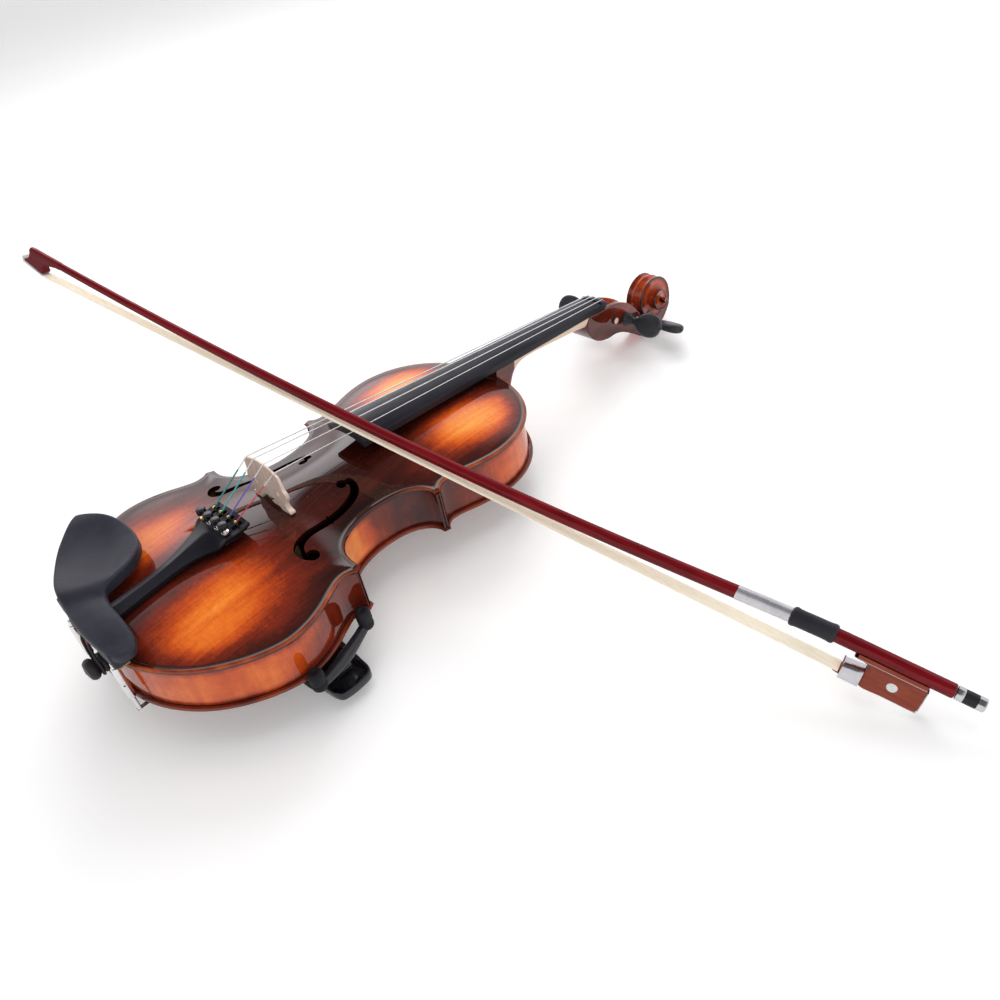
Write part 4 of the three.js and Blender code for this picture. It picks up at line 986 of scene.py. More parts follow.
# ------------------------------------------------------------------ pegbox
# side outline as (y, z)
PEGBOX = [(463.0, -11.5), *((y, board_under(y) - 0.15) for y in (466, 475, 485)),
          (490.7, -3.5), (499.5, -4.6), (508, -7), (517, -11.6), (524, -16.6), (529, -21.6),
          (534, -28.4), (537, -34), (541, -38), (552, -36), (566, -34), (575, -38), (581.5, -42),
          (576.5, -50), (568, -56.4), (557, -59.8), (547, -60), (538, -57.2), (524, -47.1),
          (510.4, -38), (499, -33.6), (488, -32.5), (477, -29.3), (469.5, -24), (465.0, -17.5)]
# side wall of the pegbox: height between the faces (-1 to 1), depth of the hollow
WALL = [(-1, 0), (-0.9, 0.05), (-0.72, 0.9), (-0.5, 1.3), (-0.25, 0.9), (-0.06, 0.1),
        (0.06, 0.1), (0.25, 0.9), (0.5, 1.3), (0.72, 0.9), (0.9, 0.05), (1, 0)]
# the peg cavity as (y, z)
CAVITY = [(491.0, 6), (536.5, 6), (537.5, -30), (538.5, -36), (545.5, -41), (547.5, -47.5),
          (545, -51.5), (538, -51), (527, -42.5), (512, -32.5), (500, -28.2), (493.5, -25),
          (491.0, -21)]
CAVITY_Y, CAVITY_HALF = [490, 515, 550], np.array([8.0, 7.0, 5.2])


def hollow_share(loop):
    """The hollows run along the low side of the outline and fade out at the neck."""
    below = loop[:, 1] < np.interp(loop[:, 0], [465, 480, 500, 520, 540, 580],
                                   [-24, -26, -29, -38, -50, -44])
    share = np.clip((loop[:, 0] - 474) / 14, 0, 1) * below
    for _ in range(6):
        share = (np.roll(share, 1) + share + np.roll(share, -1)) / 3
    return share


def pegbox_mesh():
    """Two rounded faces joined by a wall of rows that follow WALL."""
    loop = ccw(smooth_loop(PEGBOX, 6, 1.6))
    plan, tris, top, low = slab_plan(
        loop, lambda p: np.interp(p[:, 0], [455, 492, 515, 540, 600], [12.9, 12.9, 11.6, 9.6, 8.6]),
        rim=0.9, grid=3.0)
    count, around = len(plan), len(loop)
    edge = np.array([int(np.argmin(((plan - p) ** 2).sum(1))) for p in loop])
    inward = loop_normals(loop) * hollow_share(loop)[:, None]
    verts = [np.c_[plan, top], np.c_[plan, low]]
    faces = [tuple(t) for t in tris] + [tuple(t[::-1] + count) for t in tris]
    rows = [edge + count]
    for k, (place, depth) in enumerate(WALL):
        verts.append(np.c_[plan[edge] + inward * depth, top[edge] * place])
        rows.append(np.arange(around) + 2 * count + k * around)
    rows.append(edge)
    for first, second in zip(rows[:-1], rows[1:]):
        for i in range(around):
            j = (i + 1) % around
            faces.append((first[i], first[j], second[j], second[i]))
    return np.vstack(verts)[:, [2, 0, 1]], faces


pegbox = make("pegbox", pegbox_mesh(), M_HEAD, "varnished_maple", angle=42, merge=False)
cavity = resample(CAVITY, 2.5, closed=True)
cavity_half = np.interp(cavity[:, 0], CAVITY_Y, CAVITY_HALF)
cut(pegbox, skin([np.c_[-cavity_half, cavity], np.c_[cavity_half, cavity]]))


def tone_pegbox():
    """Inside of the cavity brighter; outside, a painted highlight brightest round y = 518 near the
    top.
    """
    x, y, z = (np.array([p.co for p in pegbox.data.vertices]) / MILLI).T
    within = (np.abs(x) < np.interp(y, CAVITY_Y, CAVITY_HALF + 0.1)) & (y > 490) & (y < 548)
    # painted highlight: the outside's tone rises toward the top of the pegbox, where the light falls
    outside = (0.16 + 0.20 * np.clip(1 - np.abs(y - 518) / 24, 0, 1)
               * np.clip((z + 34) / 16, 0, 1))
    attribute = pegbox.data.attributes.new("tone", "FLOAT", "POINT")
    attribute.data.foreach_set("value", np.where(within, 0.50, outside).astype(np.float32))


tone_pegbox()

# ------------------------------------------------------------------ scroll
SCROLL_Y, SCROLL_Z = 560.5, -31
# the spiral by angle in degrees: outer radius, and how far it stands out in x
RADIUS_AT = [-100, *range(-90, 811, 45)]
RADIUS = [29.4, 29.0, 25.2, 22.6, 22.0, 22.0, 21.3, 20.0, 18.0, 16.2, 14.6, 13.2, 12.0, 11.0,
          10.0, 9.1, 8.2, 7.4, 6.6, 5.9, 5.3, 4.9]
STAND_AT = [-100, *range(0, 811, 90)]
STAND = [8.7, 8.3, 8.5, 9.2, 10.6, 12.4, 14.3, 16.2, 18.0, 19.6, 20.7]
# hollow of the first turn's back: radius lost, share of the stand-out
TURN_BACK = [(0.25, 0.0), (0.9, 0.14), (1.75, 0.32), (2.0, 0.5), (1.6, 0.68), (0.5, 0.85),
             (0.05, 0.93)]
VOLUTE_TONES = [0.40] * 4 + [0.28] * 3 + [0.1] * 3 + [0.42, 0.5, 0.42] + [0.34, 0.3]


def volute(side):
    columns = []
    for angle in np.arange(-100, 811, 5.0):
        outer, stand = np.interp(angle, RADIUS_AT, RADIUS), np.interp(angle, STAND_AT, STAND)
        inner = np.interp(angle + 360, RADIUS_AT, RADIUS) if angle <= 450 else 0.0
        if angle < 262:
            points = [(outer - lost, share * stand) for lost, share in TURN_BACK]
        else:
            # later turns rise from the turn before
            floor_x = np.interp(angle - 360, STAND_AT, STAND) - 0.2
            points = [(outer - 0.1 - 0.35 * math.sin(math.pi * k / 6),
                       floor_x + (stand - 0.9 - floor_x) * k / 6) for k in range(7)]
        points += [(outer - 0.2, stand - 0.35), (outer - 0.7, stand), (outer - 1.3, stand - 0.05)]
        width = outer - inner
        for share, sink in ((0.3, -0.75), (0.5, -1.05), (0.75, -0.8)):
            points.append((outer - 0.6 - (width - 0.6) * share, stand + sink * min(1, width / 8)))
        if inner:
            points += [(inner + 0.3, stand - 0.1), (max(0.0, inner - 1.2), stand + 0.2)]
        else:
            points += [(0.02, stand + 0.9), (0.01, stand + 0.95)]
        turn = math.radians(angle)
        columns.append([(side * x, SCROLL_Y + r * math.cos(turn), SCROLL_Z + r * math.sin(turn))
                        for r, x in points])
    count = len(VOLUTE_TONES)
    faces = [quad[::side] for quad in (
        (i * count + j, i * count + j + 1, (i + 1) * count + j + 1, (i + 1) * count + j)
        for i in range(len(columns) - 1) for j in range(count - 1))]
    faces.append(tuple(range(count)))
    faces.append(tuple((len(columns) - 1) * count + j for j in range(count))[::-1])
    return np.array(columns).reshape(-1, 3), faces


scroll = combine([volute(1), volute(-1)])
make("scroll", scroll, M_HEAD, "varnished_maple", angle=48, merge=False,
     attrs={"tone": np.tile(VOLUTE_TONES, len(scroll[0]) // len(VOLUTE_TONES)) - 0.06})

# ------------------------------------------------------------------ strings and pegs: the layout
STRINGS = {  # x at the tailpiece, the bridge (from its middle), the nut and the peg; wire radius;
    # silk colour
    "g": (-13.6, -16.6, -8.2, -1.8, 0.44, (0.02, 0.16, 0.17)),
    "d": (-4.7, -5.7, -2.75, -3.2, 0.40, (0.03, 0.30, 0.30)),
    "a": (4.7, 5.7, 2.75, 3.0, 0.36, (0.07, 0.06, 0.34)),
    "e": (13.6, 16.6, 8.2, 1.8, 0.28, (0.42, 0.02, 0.05))}
PEGS = {  # y, z, side the head is on, turn in radians
    "g": (498.5, -19.5, -1, 0.93), "e": (511.5, -24.0, 1, 0.93),
    "d": (526.5, -32.5, -1, -0.64), "a": (541.0, -40.5, 1, -0.4)}

# ------------------------------------------------------------------ fingerboard, nut, saddle
M_BOARD = black_material("ebonised_board", base=(0.008, 0.008, 0.013), rough=0.36,
                         grain=(500, 26, 500), bump=0.10, streak=(160, 8, 160))
M_EBONY = black_material("ebonised_wood", base=(0.016, 0.016, 0.019), rough=0.4,
                         grain=(500, 60, 500), bump=0.10)


def board_ring(y):
    """Section: curved top, underside hollowed where it hangs free of the neck."""
    width = board_width(y) / 2
    x = width * (0.5 * np.linspace(1, -1, 33) + 0.5 * np.cos(np.linspace(0, np.pi, 33)))
    depth = np.interp(y, [BOARD_Y, 300, 346, 352], [4.2, 3.2, 2.0, 0])
    x_under = np.linspace(-width, width, 17)
    hollow = depth * np.clip(1 - (x_under / (width * 0.84)) ** 2, 0, 1) ** 0.5
    return np.vstack([np.c_[x, np.full(33, y), board_top(y) - sag(x)],
                      np.c_[x_under, np.full(17, y), board_under(y) + hollow]])


board_stations = np.r_[BOARD_Y, 216, np.linspace(222, 340, 14), 346, 352,
                       np.linspace(360, 483, 12), 484.8]
make("board", skin([board_ring(y) for y in board_stations]), M_BOARD, "ebonised_wood",
     "fingerboard", angle=32, bevel=0.5)


def nut_top(x):
    """Top of the nut, before its grooves."""
    return board_top(NUT_Y) + 0.9 - sag(x) * 0.8


def nut_mesh():
    reach = 11.9
    x = np.linspace(reach, -reach, 41)
    groove = sum(0.32 * np.exp(-((x - string[2]) / 0.45) ** 2) for string in STRINGS.values())
    top = nut_top(x) - groove
    # stations: y, height added to the top
    return skin([np.vstack([np.c_[x, np.full(41, y), top + rise],
                            [(-reach, y, -2.4), (reach, y, -2.4)]])
                 for y, rise in ((485.1, -0.15), (485.4, 0.0), (487.5, 0.05), (489.2, -0.5),
                                 (490.4, -1.6))])


make("top_nut", nut_mesh(), M_EBONY, "ebonised_wood", "nut", angle=40, bevel=0.25)
# section of the saddle as (y, z); it gets lower toward both ends
SADDLE = [(-0.6, 0.0), (8, 0.0), (8, 5.4), (6.8, 7.4), (5.0, 8.25), (2.4, 8.2), (0.4, 7.5),
          (-0.6, 6.0)]
make("tail_saddle",
     skin([[(x, y, z * (1 - 0.28 * (max(0, abs(x) - 12) / 6) ** 2)) for y, z in SADDLE]
           for x in np.linspace(-18, 18, 19)]),
     M_EBONY, "ebonised_wood", "saddle", angle=40, bevel=0.4)

# ------------------------------------------------------------------ bridge
M_BRIDGE = wood_material("bridge_maple", dark=(0.66, 0.48, 0.38), light=(0.88, 0.73, 0.63),
                         stretch=(500, 120, 60), rough=0.55, contrast=(0.32, 0.6))
BRIDGE_X, BRIDGE_Y, BRIDGE_TOP = 1.5, 145.9, 50.5
foot = max(height_top(BRIDGE_X - 16, BRIDGE_Y), height_top(BRIDGE_X + 16, BRIDGE_Y)) + 0.05
# treble half as (x from the middle, height above the feet)
BRIDGE_SIDE = [(21.3, 23.6), (21.4, 20.0), (23.4, 16.6), (23.2, 13.0), (20.6, 10.0), (18.9, 6.6),
               (19.6, 3.5), (22.8, 1.9), (22.9, 0.1)]
BRIDGE_ARCH = [(11.8, 0.1), (11.2, 2.0), (9.0, 4.2), (5.2, 6.5)]
# round openings: radius, x, height above the feet
BRIDGE_HOLES = [(2.0, 0, 17.6), (1.9, 13.4, 14.4), (1.9, -13.4, 14.4), (0.9, 6.6, 22.5),
                (0.9, -6.6, 22.5)]


def bridge_top(x):
    """Top edge, a little higher on the bass side."""
    x = np.asarray(x, float)
    return BRIDGE_TOP - sag(x) + np.where(x < 0, 0.5 * np.minimum(1, -x / 16), 0)


def bridge_mesh():
    side, arch = (np.array(table) + (0, foot) for table in (BRIDGE_SIDE, BRIDGE_ARCH))
    x = np.linspace(-20.4, 20.4, 27)
    loop = np.vstack([np.c_[x, bridge_top(x)], catmull(side, 4)[1:], arch,
                      arch[::-1] * (-1, 1), catmull(side[::-1] * (-1, 1), 4)[:-1]])
    holes = []
    for radius, centre_x, height in BRIDGE_HOLES:
        mirrored = -1 if centre_x < 0 else 1
        ring = circle(16, radius, (abs(centre_x), foot + height)) * (mirrored, 1)
        holes.append(resample(ccw(ring), 0.6, closed=True))
    verts, faces = stand(slab(
        resample(loop, 0.7, closed=True),
        lambda p: np.interp(p[:, 1], [foot, foot + 5, BRIDGE_TOP], [2.1, 1.85, 0.72]),
        rim=0.28, grid=1.3, holes=holes))
    return verts + (BRIDGE_X, BRIDGE_Y, 0), faces


make("bridge_carved", bridge_mesh(), M_BRIDGE, "bridge_maple", "bridge", angle=40, merge=False)

# ------------------------------------------------------------------ tailpiece
M_TAIL = black_material("satin_composite", base=(0.008, 0.008, 0.012), rough=0.34,
                        grain=(700, 700, 700), bump=0.12, vary=0.06)
TAIL_START = 9.5
SCREW_Y = 101.5
# y, half width
TAIL_WIDTHS = [(TAIL_START, 6.6), (14, 7.8), (30, 7.4), (48, 6.9), (64, 7.6), (76, 9.8),
               (86, 13.6), (96, 18.2), (105, 20.4), (112, 20.8), (117, 19.6)]


def tail_top(y):
    return (15.0 + 13.0 * (y - TAIL_START) / 107.5
            - 1.8 * np.sin(np.pi * np.clip((y - TAIL_START) / 92.0, 0, 1)) ** 2)


def tail_ring(y, width):
    """Section: ridged with hollowed flanks, then flat and sunk a little between the tuners."""
    middle = tail_top(y)
    s = np.linspace(1, -1, 25)
    k = np.clip((y - 92) / 6, 0, 1)
    ridge = -0.30 * width * np.abs(s) ** 1.25 - 0.3 * np.sin(np.pi * np.abs(s))
    flat = -0.10 * width * s * s - 0.8 * (np.abs(s) < 0.86)
    z = middle + (1 - k) * ridge + k * flat
    skirt = middle - 6.0 * (1 - 0.35 * np.clip((10.5 - y) / 1.0, 0, 1))
    under = [(-0.97, z[-1] - 1.6), (-0.86, skirt), (-0.7, middle - 5.0), (0.7, middle - 5.0),
             (0.86, skirt), (0.97, z[0] - 1.6)]
    return np.vstack([np.c_[s * width, np.full(25, y), z],
                      [(width * share, y, height) for share, height in under]])


tail_stations = np.r_[TAIL_START, 10.2, 12, 14, np.linspace(18, 92, 20),
                      np.linspace(94.5, 113, 16), 114.5, 116, 117]
tail_widths = np.interp(tail_stations, *zip(*catmull(TAIL_WIDTHS, 6)))
tail = make("tailpiece_body", skin([tail_ring(*s) for s in zip(tail_stations, tail_widths)]),
            M_TAIL, "black_composite", "tailpiece", angle=38)
openings = []
for tail_x, *_ in STRINGS.values():
    openings.append(box((tail_x - 1.7, tail_x + 1.7), (106.4, 114.2), (10, 44)))
    openings.append(prism(circle(20, 2.0, (tail_x, SCREW_Y)), 10, 44))
cut(tail, combine(openings))
add_bevel(tail, 0.35, angle=45, segments=2)

# ------------------------------------------------------------------ fine tuners
M_BRASS = metal_material("brass", color=(0.75, 0.55, 0.22), rough=0.24)
M_NICKEL = metal_material("nickel_silver", color=(0.80, 0.80, 0.79), rough=0.14)
M_GLOSS = black_material("black_gloss_plastic", base=(0.006, 0.006, 0.008), rough=0.2,
                         grain=(300, 300, 300), bump=0.05, coat=0.4)
# knurled head: height above the tailpiece, share of its radius
TUNER_HEAD = [(3.1, 0.86), (3.5, 1), (6.9, 1), (7.4, 0.9), (7.6, 0.62)]
# lever outline: y, z from the tailpiece's underside
TUNER_ARM = [(97.5, -3.2), (99.5, -3.4), (110.5, -3.4), (111.7, -2.2), (111.9, 3.0), (111.2, 6.0),
             (110.2, 6.2), (110.0, 3.0), (109.6, -0.7), (105, -1.0), (99, -1.7), (97.6, -2.2)]


def tuner(name, x):
    top = tail_top(SCREW_Y)
    screw = dict(slot="nickel_silver", body=f"tuner_screw_{name}_body")
    knurl = 3.15 + np.where(np.arange(40) % 2, 0.22, -0.12)[:, None]
    head = skin([np.c_[circle(40, knurl * share, (x, SCREW_Y)), np.full(40, top + rise)]
                 for rise, share in TUNER_HEAD])
    make(f"tuner_head_{name}", head, M_GLOSS, replaces=f"tuner_screw_{name}", **screw)
    thread = [(1.15, -6.6), (1.15, 1.0)]
    thread += [(1.05 + 0.12 * (i % 2), 1.0 + 0.25 * i) for i in range(9)] + [(1.15, 3.2)]
    make(f"tuner_thread_{name}", turned(thread, (x, SCREW_Y, top), (0, 0, 1), 16), M_NICKEL,
         **screw)
    # bushing ring the screw passes through, fixed in the tailpiece
    bush = [(1.3, -1.4), (2.7, -1.4), (2.7, 0.7), (1.3, 0.7)]
    make(f"tuner_bush_{name}", rounded_turned(bush, (x, SCREW_Y, top), (0, 0, 1), 24, 0.3),
         M_BRASS if name == "g" else M_NICKEL, "nickel_silver")
    profile = np.array(TUNER_ARM) + (0, tail_top(105) - 6.0)
    make(f"tuner_arm_{name}", prism(smooth_loop(profile, 3, 0.8), x - 1.45, x + 1.45, along_x=True),
         M_GLOSS, "nickel_silver", f"tuner_lever_{name}", body=f"tuner_lever_{name}_body",
         angle=40, bevel=0.3)


for name, string in STRINGS.items():
    tuner(name, string[0])

# ------------------------------------------------------------------ strings
M_STRING = metal_material("string_steel", color=(0.92, 0.92, 0.94), rough=0.34,
                          brushed=(900, 900, 900), metal=0.35)


def silk_material(name, colour):
    shader = Shader(f"silk_{name}", rough=0.55)
    thread = shader.noise(stretch=(900, 2400, 900), detail=2)
    light = tuple(min(1, c * 1.8 + 0.05) for c in colour)
    shader.color(shader.mix(shader.remap(thread, span=(0.35, 0.65)), colour, light))
    shader.bump(thread, strength=0.3, distance=0.0001)
    return shader.material


def string(name, tail_x, bridge_x, nut_x, peg_x, radius, silk_colour):
    """A wire from the tailpiece over bridge and nut to its peg, with silk at both ends."""
    peg_y, peg_z = PEGS[name][:2]
    tail_z = tail_top(113) + 0.9
    nut_z = nut_top(nut_x) + radius + 0.1
    start = np.array([tail_x, 110.9, tail_z - 0.2])
    bridge = np.array([bridge_x + BRIDGE_X, BRIDGE_Y, bridge_top(bridge_x) + radius])
    nut = np.array([nut_x, 485.3, nut_z])
    nut_end = np.array([nut_x * 0.97, 490.4, nut_z - 0.9])
    peg = np.array([peg_x, peg_y - 3.9, peg_z + 1.6 + radius])
    # two and a half turns wound on the peg
    turn = np.linspace(0.35 * np.pi, 5.35 * np.pi, 60)
    pitch = np.sign(peg_x) * 0.9 * 0.95
    wound = np.c_[peg_x + pitch * (turn - turn[0]) / (2 * np.pi),
                  peg_y - (3.9 + radius) * np.sin(turn), peg_z + (3.9 + radius) * np.cos(turn)]
    path = np.vstack([between(start, bridge, 0, 0.985, 12), bridge,
                      between(bridge, nut, 0.01, 1, 16), nut_end,
                      between(nut_end, peg, 0.1, 1, 8), wound])
    make(f"string_wire_{name}", tube(path, radius, 8, facing=(0.2, 0, 1)), M_STRING,
         "string_steel", f"string_{name}", angle=60, merge=False)
    silk = combine([
        tube(between(start, bridge, 0.02, 0.74, 14), radius + 0.14, 10),
        tube(between(nut_end, peg, 0.05, 1, 8), radius + 0.12, 10, facing=(0.2, 0, 1)),
        tube(wound[8:], radius + 0.12, 8, facing=(1, 0, 0.1))])
    make(f"string_silk_{name}", silk, silk_material(name, silk_colour), "string_steel",
         angle=60, merge=False)
    ball = turned([(0.01, -1.0), (1.1, -0.9), (1.35, 0), (1.1, 0.9), (0.01, 1.0)],
                  (tail_x, 110.6, tail_z - 0.3), (1, 0, 0), 14)
    make(f"string_ball_{name}", ball, M_BRASS, "string_steel", angle=60)


for name, layout in STRINGS.items():
    string(name, *layout)

# ------------------------------------------------------------------ pegs, along x, head at +x
M_PEG = black_material("peg_wood", base=(0.019, 0.020, 0.024), rough=0.36, grain=(60, 420, 420),
                       bump=0.12, streak=(20, 120, 120))
# stations of the flat head: x, half width, half thickness
PEG_HEAD = [(23.0, 3.2, 3.2), (26.0, 3.5, 3.3), (28.6, 5.4, 3.5), (31.4, 8.2, 3.9),
            (35.5, 9.9, 4.2), (40, 10.4, 4.3), (45, 9.8, 4.2), (48.6, 8.2, 3.9), (50.5, 6.2, 3.4),
            (51.4, 4.0, 2.5), (51.75, 1.4, 1.0)]
PEG_SHANK = [(0.01, -14.6), (3.0, -14.6), (3.4, -13.8), (4.0, 14.6), (4.1, 14.8), (6.1, 14.8),
             (6.4, 15.6), (6.0, 17.2), (5.0, 17.6), (4.6, 19.2), (3.5, 22.0), (3.3, 24.0),
             (0.01, 24.2)]
PEG_TIP = [(0.01, 51.0), (1.5, 51.2), (1.7, 52.2), (0.9, 53.0), (0.01, 53.1)]


def peg_mesh():
    cosine, sine = circle(36).T
    rings = []
    for x, width, thick in catmull(PEG_HEAD, 4):
        power = 2 / np.interp(x, [23, 27, 46, 51.7], [2.0, 2.7, 2.9, 2.2])
        dish = 1 - 0.16 * np.exp(-((x - 38) / 7.5) ** 2) * np.exp(-(cosine / 0.75) ** 2)
        rings.append(np.c_[np.full(36, x), width * np.sign(cosine) * np.abs(cosine) ** power,
                           thick * np.sign(sine) * np.abs(sine) ** power * dish])
    return combine([skin(rings), rounded_turned(PEG_SHANK, (0, 0, 0), (1, 0, 0), 32, 0.5),
                    rounded_turned(PEG_TIP, (0, 0, 0), (1, 0, 0), 20, 0.4)])


peg_shape = peg_mesh()
for name, (y, z, side, turn) in PEGS.items():
    place = dict(slot="ebonised_wood", body=f"peg_{name}_body", angle=40,
                 frame=VIOLIN @ Matrix.Translation((0, y * MILLI, z * MILLI))
                 @ Matrix.Rotation(turn, 4, "X"))
    make(f"peg_turned_{name}", peg_shape if side > 0 else mirror(peg_shape), M_PEG,
         replaces=f"peg_{name}", merge=False, **place)
    # pale end grain of the peg where it comes through the far wall
    end = turned([(0.01, 0.02), (2.7, 0.02), (2.9, -0.3)], (-side * 14.6, 0, 0), (-side, 0, 0), 20)
    make(f"peg_end_{name}", end, M_NECK, **place)

# ------------------------------------------------------------------ end button and tail cord
# radius, distance toward -y
END_BUTTON = [(0.01, -17), (3.6, -17), (4.0, 5.2), (6.4, 5.6), (7.2, 6.6), (7.2, 8.4), (4.6, 9.6),
              (4.4, 10.6), (7.4, 13.0), (7.8, 15.5), (6.2, 18.2), (0.01, 19.4)]
make("end_button_turned", rounded_turned(END_BUTTON, (0, 6.0, -15), (0, -1, 0), 40, 1.4, 4),
     M_EBONY, "ebonised_wood", "end_button", angle=50)
# bass half of the cord's path, from the tailpiece to its lowest point under the button
CORD = np.array([(-3.6, 22, 9.6), (-4, 10, 9.7), (-4.4, 4, 9.9), (-4.8, -2.4, 7.6),
                 (-5.6, -4.1, -2), (-6.5, -4.15, -14), (-4.6, -4.15, -20.3), (0, -4.15, -22.2)])
cord_path = catmull(np.vstack([CORD, CORD[-2::-1] * (-1, 1, 1)]), 8)
M_CORD = black_material("tail_cord", base=(0.013, 0.013, 0.015), rough=0.5,
                        grain=(900, 900, 900), bump=0.2)
make("tail_cord", tube(cord_path, 1.0, 12, facing=(1, 0.1, 0)), M_CORD, "black_composite",
     "tailgut", angle=60)

# ------------------------------------------------------------------ chin rest
M_CHIN = black_material("chinrest_composite", base=(0.020, 0.021, 0.030), rough=0.47,
                        grain=(1500, 1500, 1500), bump=0.18, vary=0.05)
CHINREST = [(-100, 47), (-91, 56.5), (-78, 63), (-60, 65.5), (-41, 63.5), (-28, 57.5), (-19, 47),
            (-14, 34), (-10.5, 24), (1, 20.5), (15, 19.4), (29, 18.4), (40.5, 16.2), (47.6, 10.6),
            (47.2, 3.4), (40.4, -1.0), (25, -3.2), (6, -3.8), (-16, -2), (-42, 3.2), (-62, 11.2),
            (-78, 21.2), (-90, 33), (-98.5, 43)]
CLAMP_X = 30  # the feet and clamp posts stand this far each side of the middle
CHIN_TOP = 26.0


def chinrest_mesh():
    loop = ccw(smooth_loop(CHINREST, 8, 1.3))
    plan, tris = plan_mesh(loop, (), (0.08, 0.3, 0.8, 1.6, 3.0), 2.4)
    gap = distance(loop, plan)
    x, y = plan.T
    radius, sink, rim, soft = 86.0, 7.2, 1.8, 1.2
    square = (x + 55) ** 2 + (y - 36) ** 2
    dish = CHIN_TOP + radius - sink - np.sqrt(np.maximum(radius * radius - square, 100))
    # the dish runs softly into the flat rim
    top = -soft * np.log(np.exp(-dish / soft) + np.exp(-CHIN_TOP / soft)) + 0.2
    # the arm over the tailpiece rises to a soft ridge, then falls away at its end
    arm = 23.6 - 0.0016 * np.maximum(0, x + 8) ** 2 - 0.014 * (y - 10) ** 2
    share = np.clip((x + 24) / 16 + (14 - y) / 26, 0, 1)
    share = share * share * (3 - 2 * share)
    top = top * (1 - share) + np.minimum(top, arm) * share
    top = soften_heights(plan, tris, top, 3)
    near = np.clip(gap / rim, 0, 1)
    top = top - 2.2 * (1 - np.sqrt(np.maximum(0, 1 - (1 - near) ** 2)))
    low = (16.6 + 1.2 * (1 - np.clip(gap / 3.0, 0, 1)) ** 2
           + np.clip((gap - 3) / 10, 0, 1) * 1.2)
    return shell(plan, tris, top, np.minimum(low, top - 3.0))[:2]


make("chinrest_plate", chinrest_mesh(), M_CHIN, "black_composite", "chinrest", angle=50,
     merge=False)
make("chinrest_feet", combine([box((20, 40), (-2.4, 7.4), (5.4, 17.6)),
                               box((-40, -20), (0.2, 7.4), (5.4, 17.6))]),
     M_CHIN, "black_composite", angle=40, bevel=1.2)
M_CORK = wood_material("cork_pad", dark=(0.30, 0.17, 0.08), light=(0.50, 0.31, 0.16),
                       stretch=(400, 400, 400), rough=0.9)
make("chinrest_cork", combine([box((20.2, 39.8), (-0.2, 7.2), (4.3, 5.5)),
                               box((-39.8, -20.2), (0.4, 7.2), (4.3, 5.5))]),
     M_CORK, "black_composite", angle=40, bevel=0.2)

BARREL = [(0.01, -27), (2.3, -27), (2.7, -26.4), (2.7, -0.2), (2.3, 0.5), (1.6, 0.7), (1.5, 4.6),
          (0.01, 4.7)]
for side_name, side in SIDES:
    node = f"chinrest_barrel_{side_name}"
    barrel = make(f"clamp_barrel_{side_name}",
                  rounded_turned(BARREL, (CLAMP_X * side, -1, 0), (0, 0, 1), 32, 0.4),
                  M_NICKEL, "nickel_silver", node, body=node + "_body", angle=40)
    # cross hole
    cut(barrel, turned([(0.01, -4), (0.75, -4), (0.75, 4), (0.01, 4)],
                       (CLAMP_X * side, -1, -14.5), (0.94, -0.34, 0), 16))

# the claw: a bar under the back with two threaded posts up into the barrels
POST = ([(0.01, -38.6), (1.5, -38.6)] + [(1.5 - 0.16 * (i % 2), -37.6 + 0.4 * i) for i in range(26)]
        + [(1.3, -27.2), (0.01, -27.1)])
claw = []
for post_x in (CLAMP_X, -CLAMP_X):
    claw.append(turned(POST, (post_x, -1, 0), (0, 0, 1), 18))
    claw.append(box((post_x - 1.9, post_x + 1.9), (-2.9, 12.8), (-40.3, -38.5)))
claw.append(box((-34, 34), (9.6, 13), (-40.4, -38.5)))
make("clamp_claw", combine(claw), M_NICKEL, "nickel_silver", "chinrest_claw",
     body="chinrest_claw_body", angle=40, bevel=0.35)
make("clamp_cork", box((-33.5, 33.5), (8.9, 12.9), (-38.5, -35.6)), M_CORK, "nickel_silver",
     body="chinrest_claw_body", angle=40, bevel=0.4)

# ------------------------------------------------------------------ shoulder rest
M_RUBBER = black_material("rubber", base=(0.007, 0.007, 0.010), rough=0.62,
                          grain=(700, 700, 700), bump=0.25)
M_FOAM = black_material("foam", base=(0.014, 0.014, 0.016), rough=0.92,
                        grain=(1600, 1600, 1600), bump=0.9, distance=0.0006)
M_REST = black_material("rest_plastic", base=(0.005, 0.005, 0.008), rough=0.2,
                        grain=(300, 300, 300), bump=0.04, coat=0.6)
PAD = [(-92, 88), (-60, 85), (0, 84), (60, 85), (92, 88), (99, 103), (92, 118), (60, 121),
       (0, 122), (-60, 121), (-92, 118), (-99, 103)]
make("rest_pad", slab(smooth_loop(PAD, 8, 2.0), lambda p: np.full(len(p), 3.75), rim=1.4, grid=5,
                      centre=-63.25),
     M_FOAM, "foam", "shoulder_rest_pad", frame=REST, angle=50, merge=False)

PLATE = [(-104, 87.6), (-60, 84), (0, 83), (60, 84), (104, 87.6), (112.5, 88.6), (117.2, 91),
         (118.8, 96), (118.8, 110), (117.2, 115), (112.5, 117.6), (104, 118.6), (60, 122),
         (0, 123), (-60, 122), (-104, 118.6), (-112.5, 117.6), (-117.2, 115), (-118.8, 110),
         (-118.8, 96), (-117.2, 91), (-112.5, 88.6)]
FORK_X = FORK_Y = 103   # the bosses and the fork barrels stand here
FORK_Z = -48.8


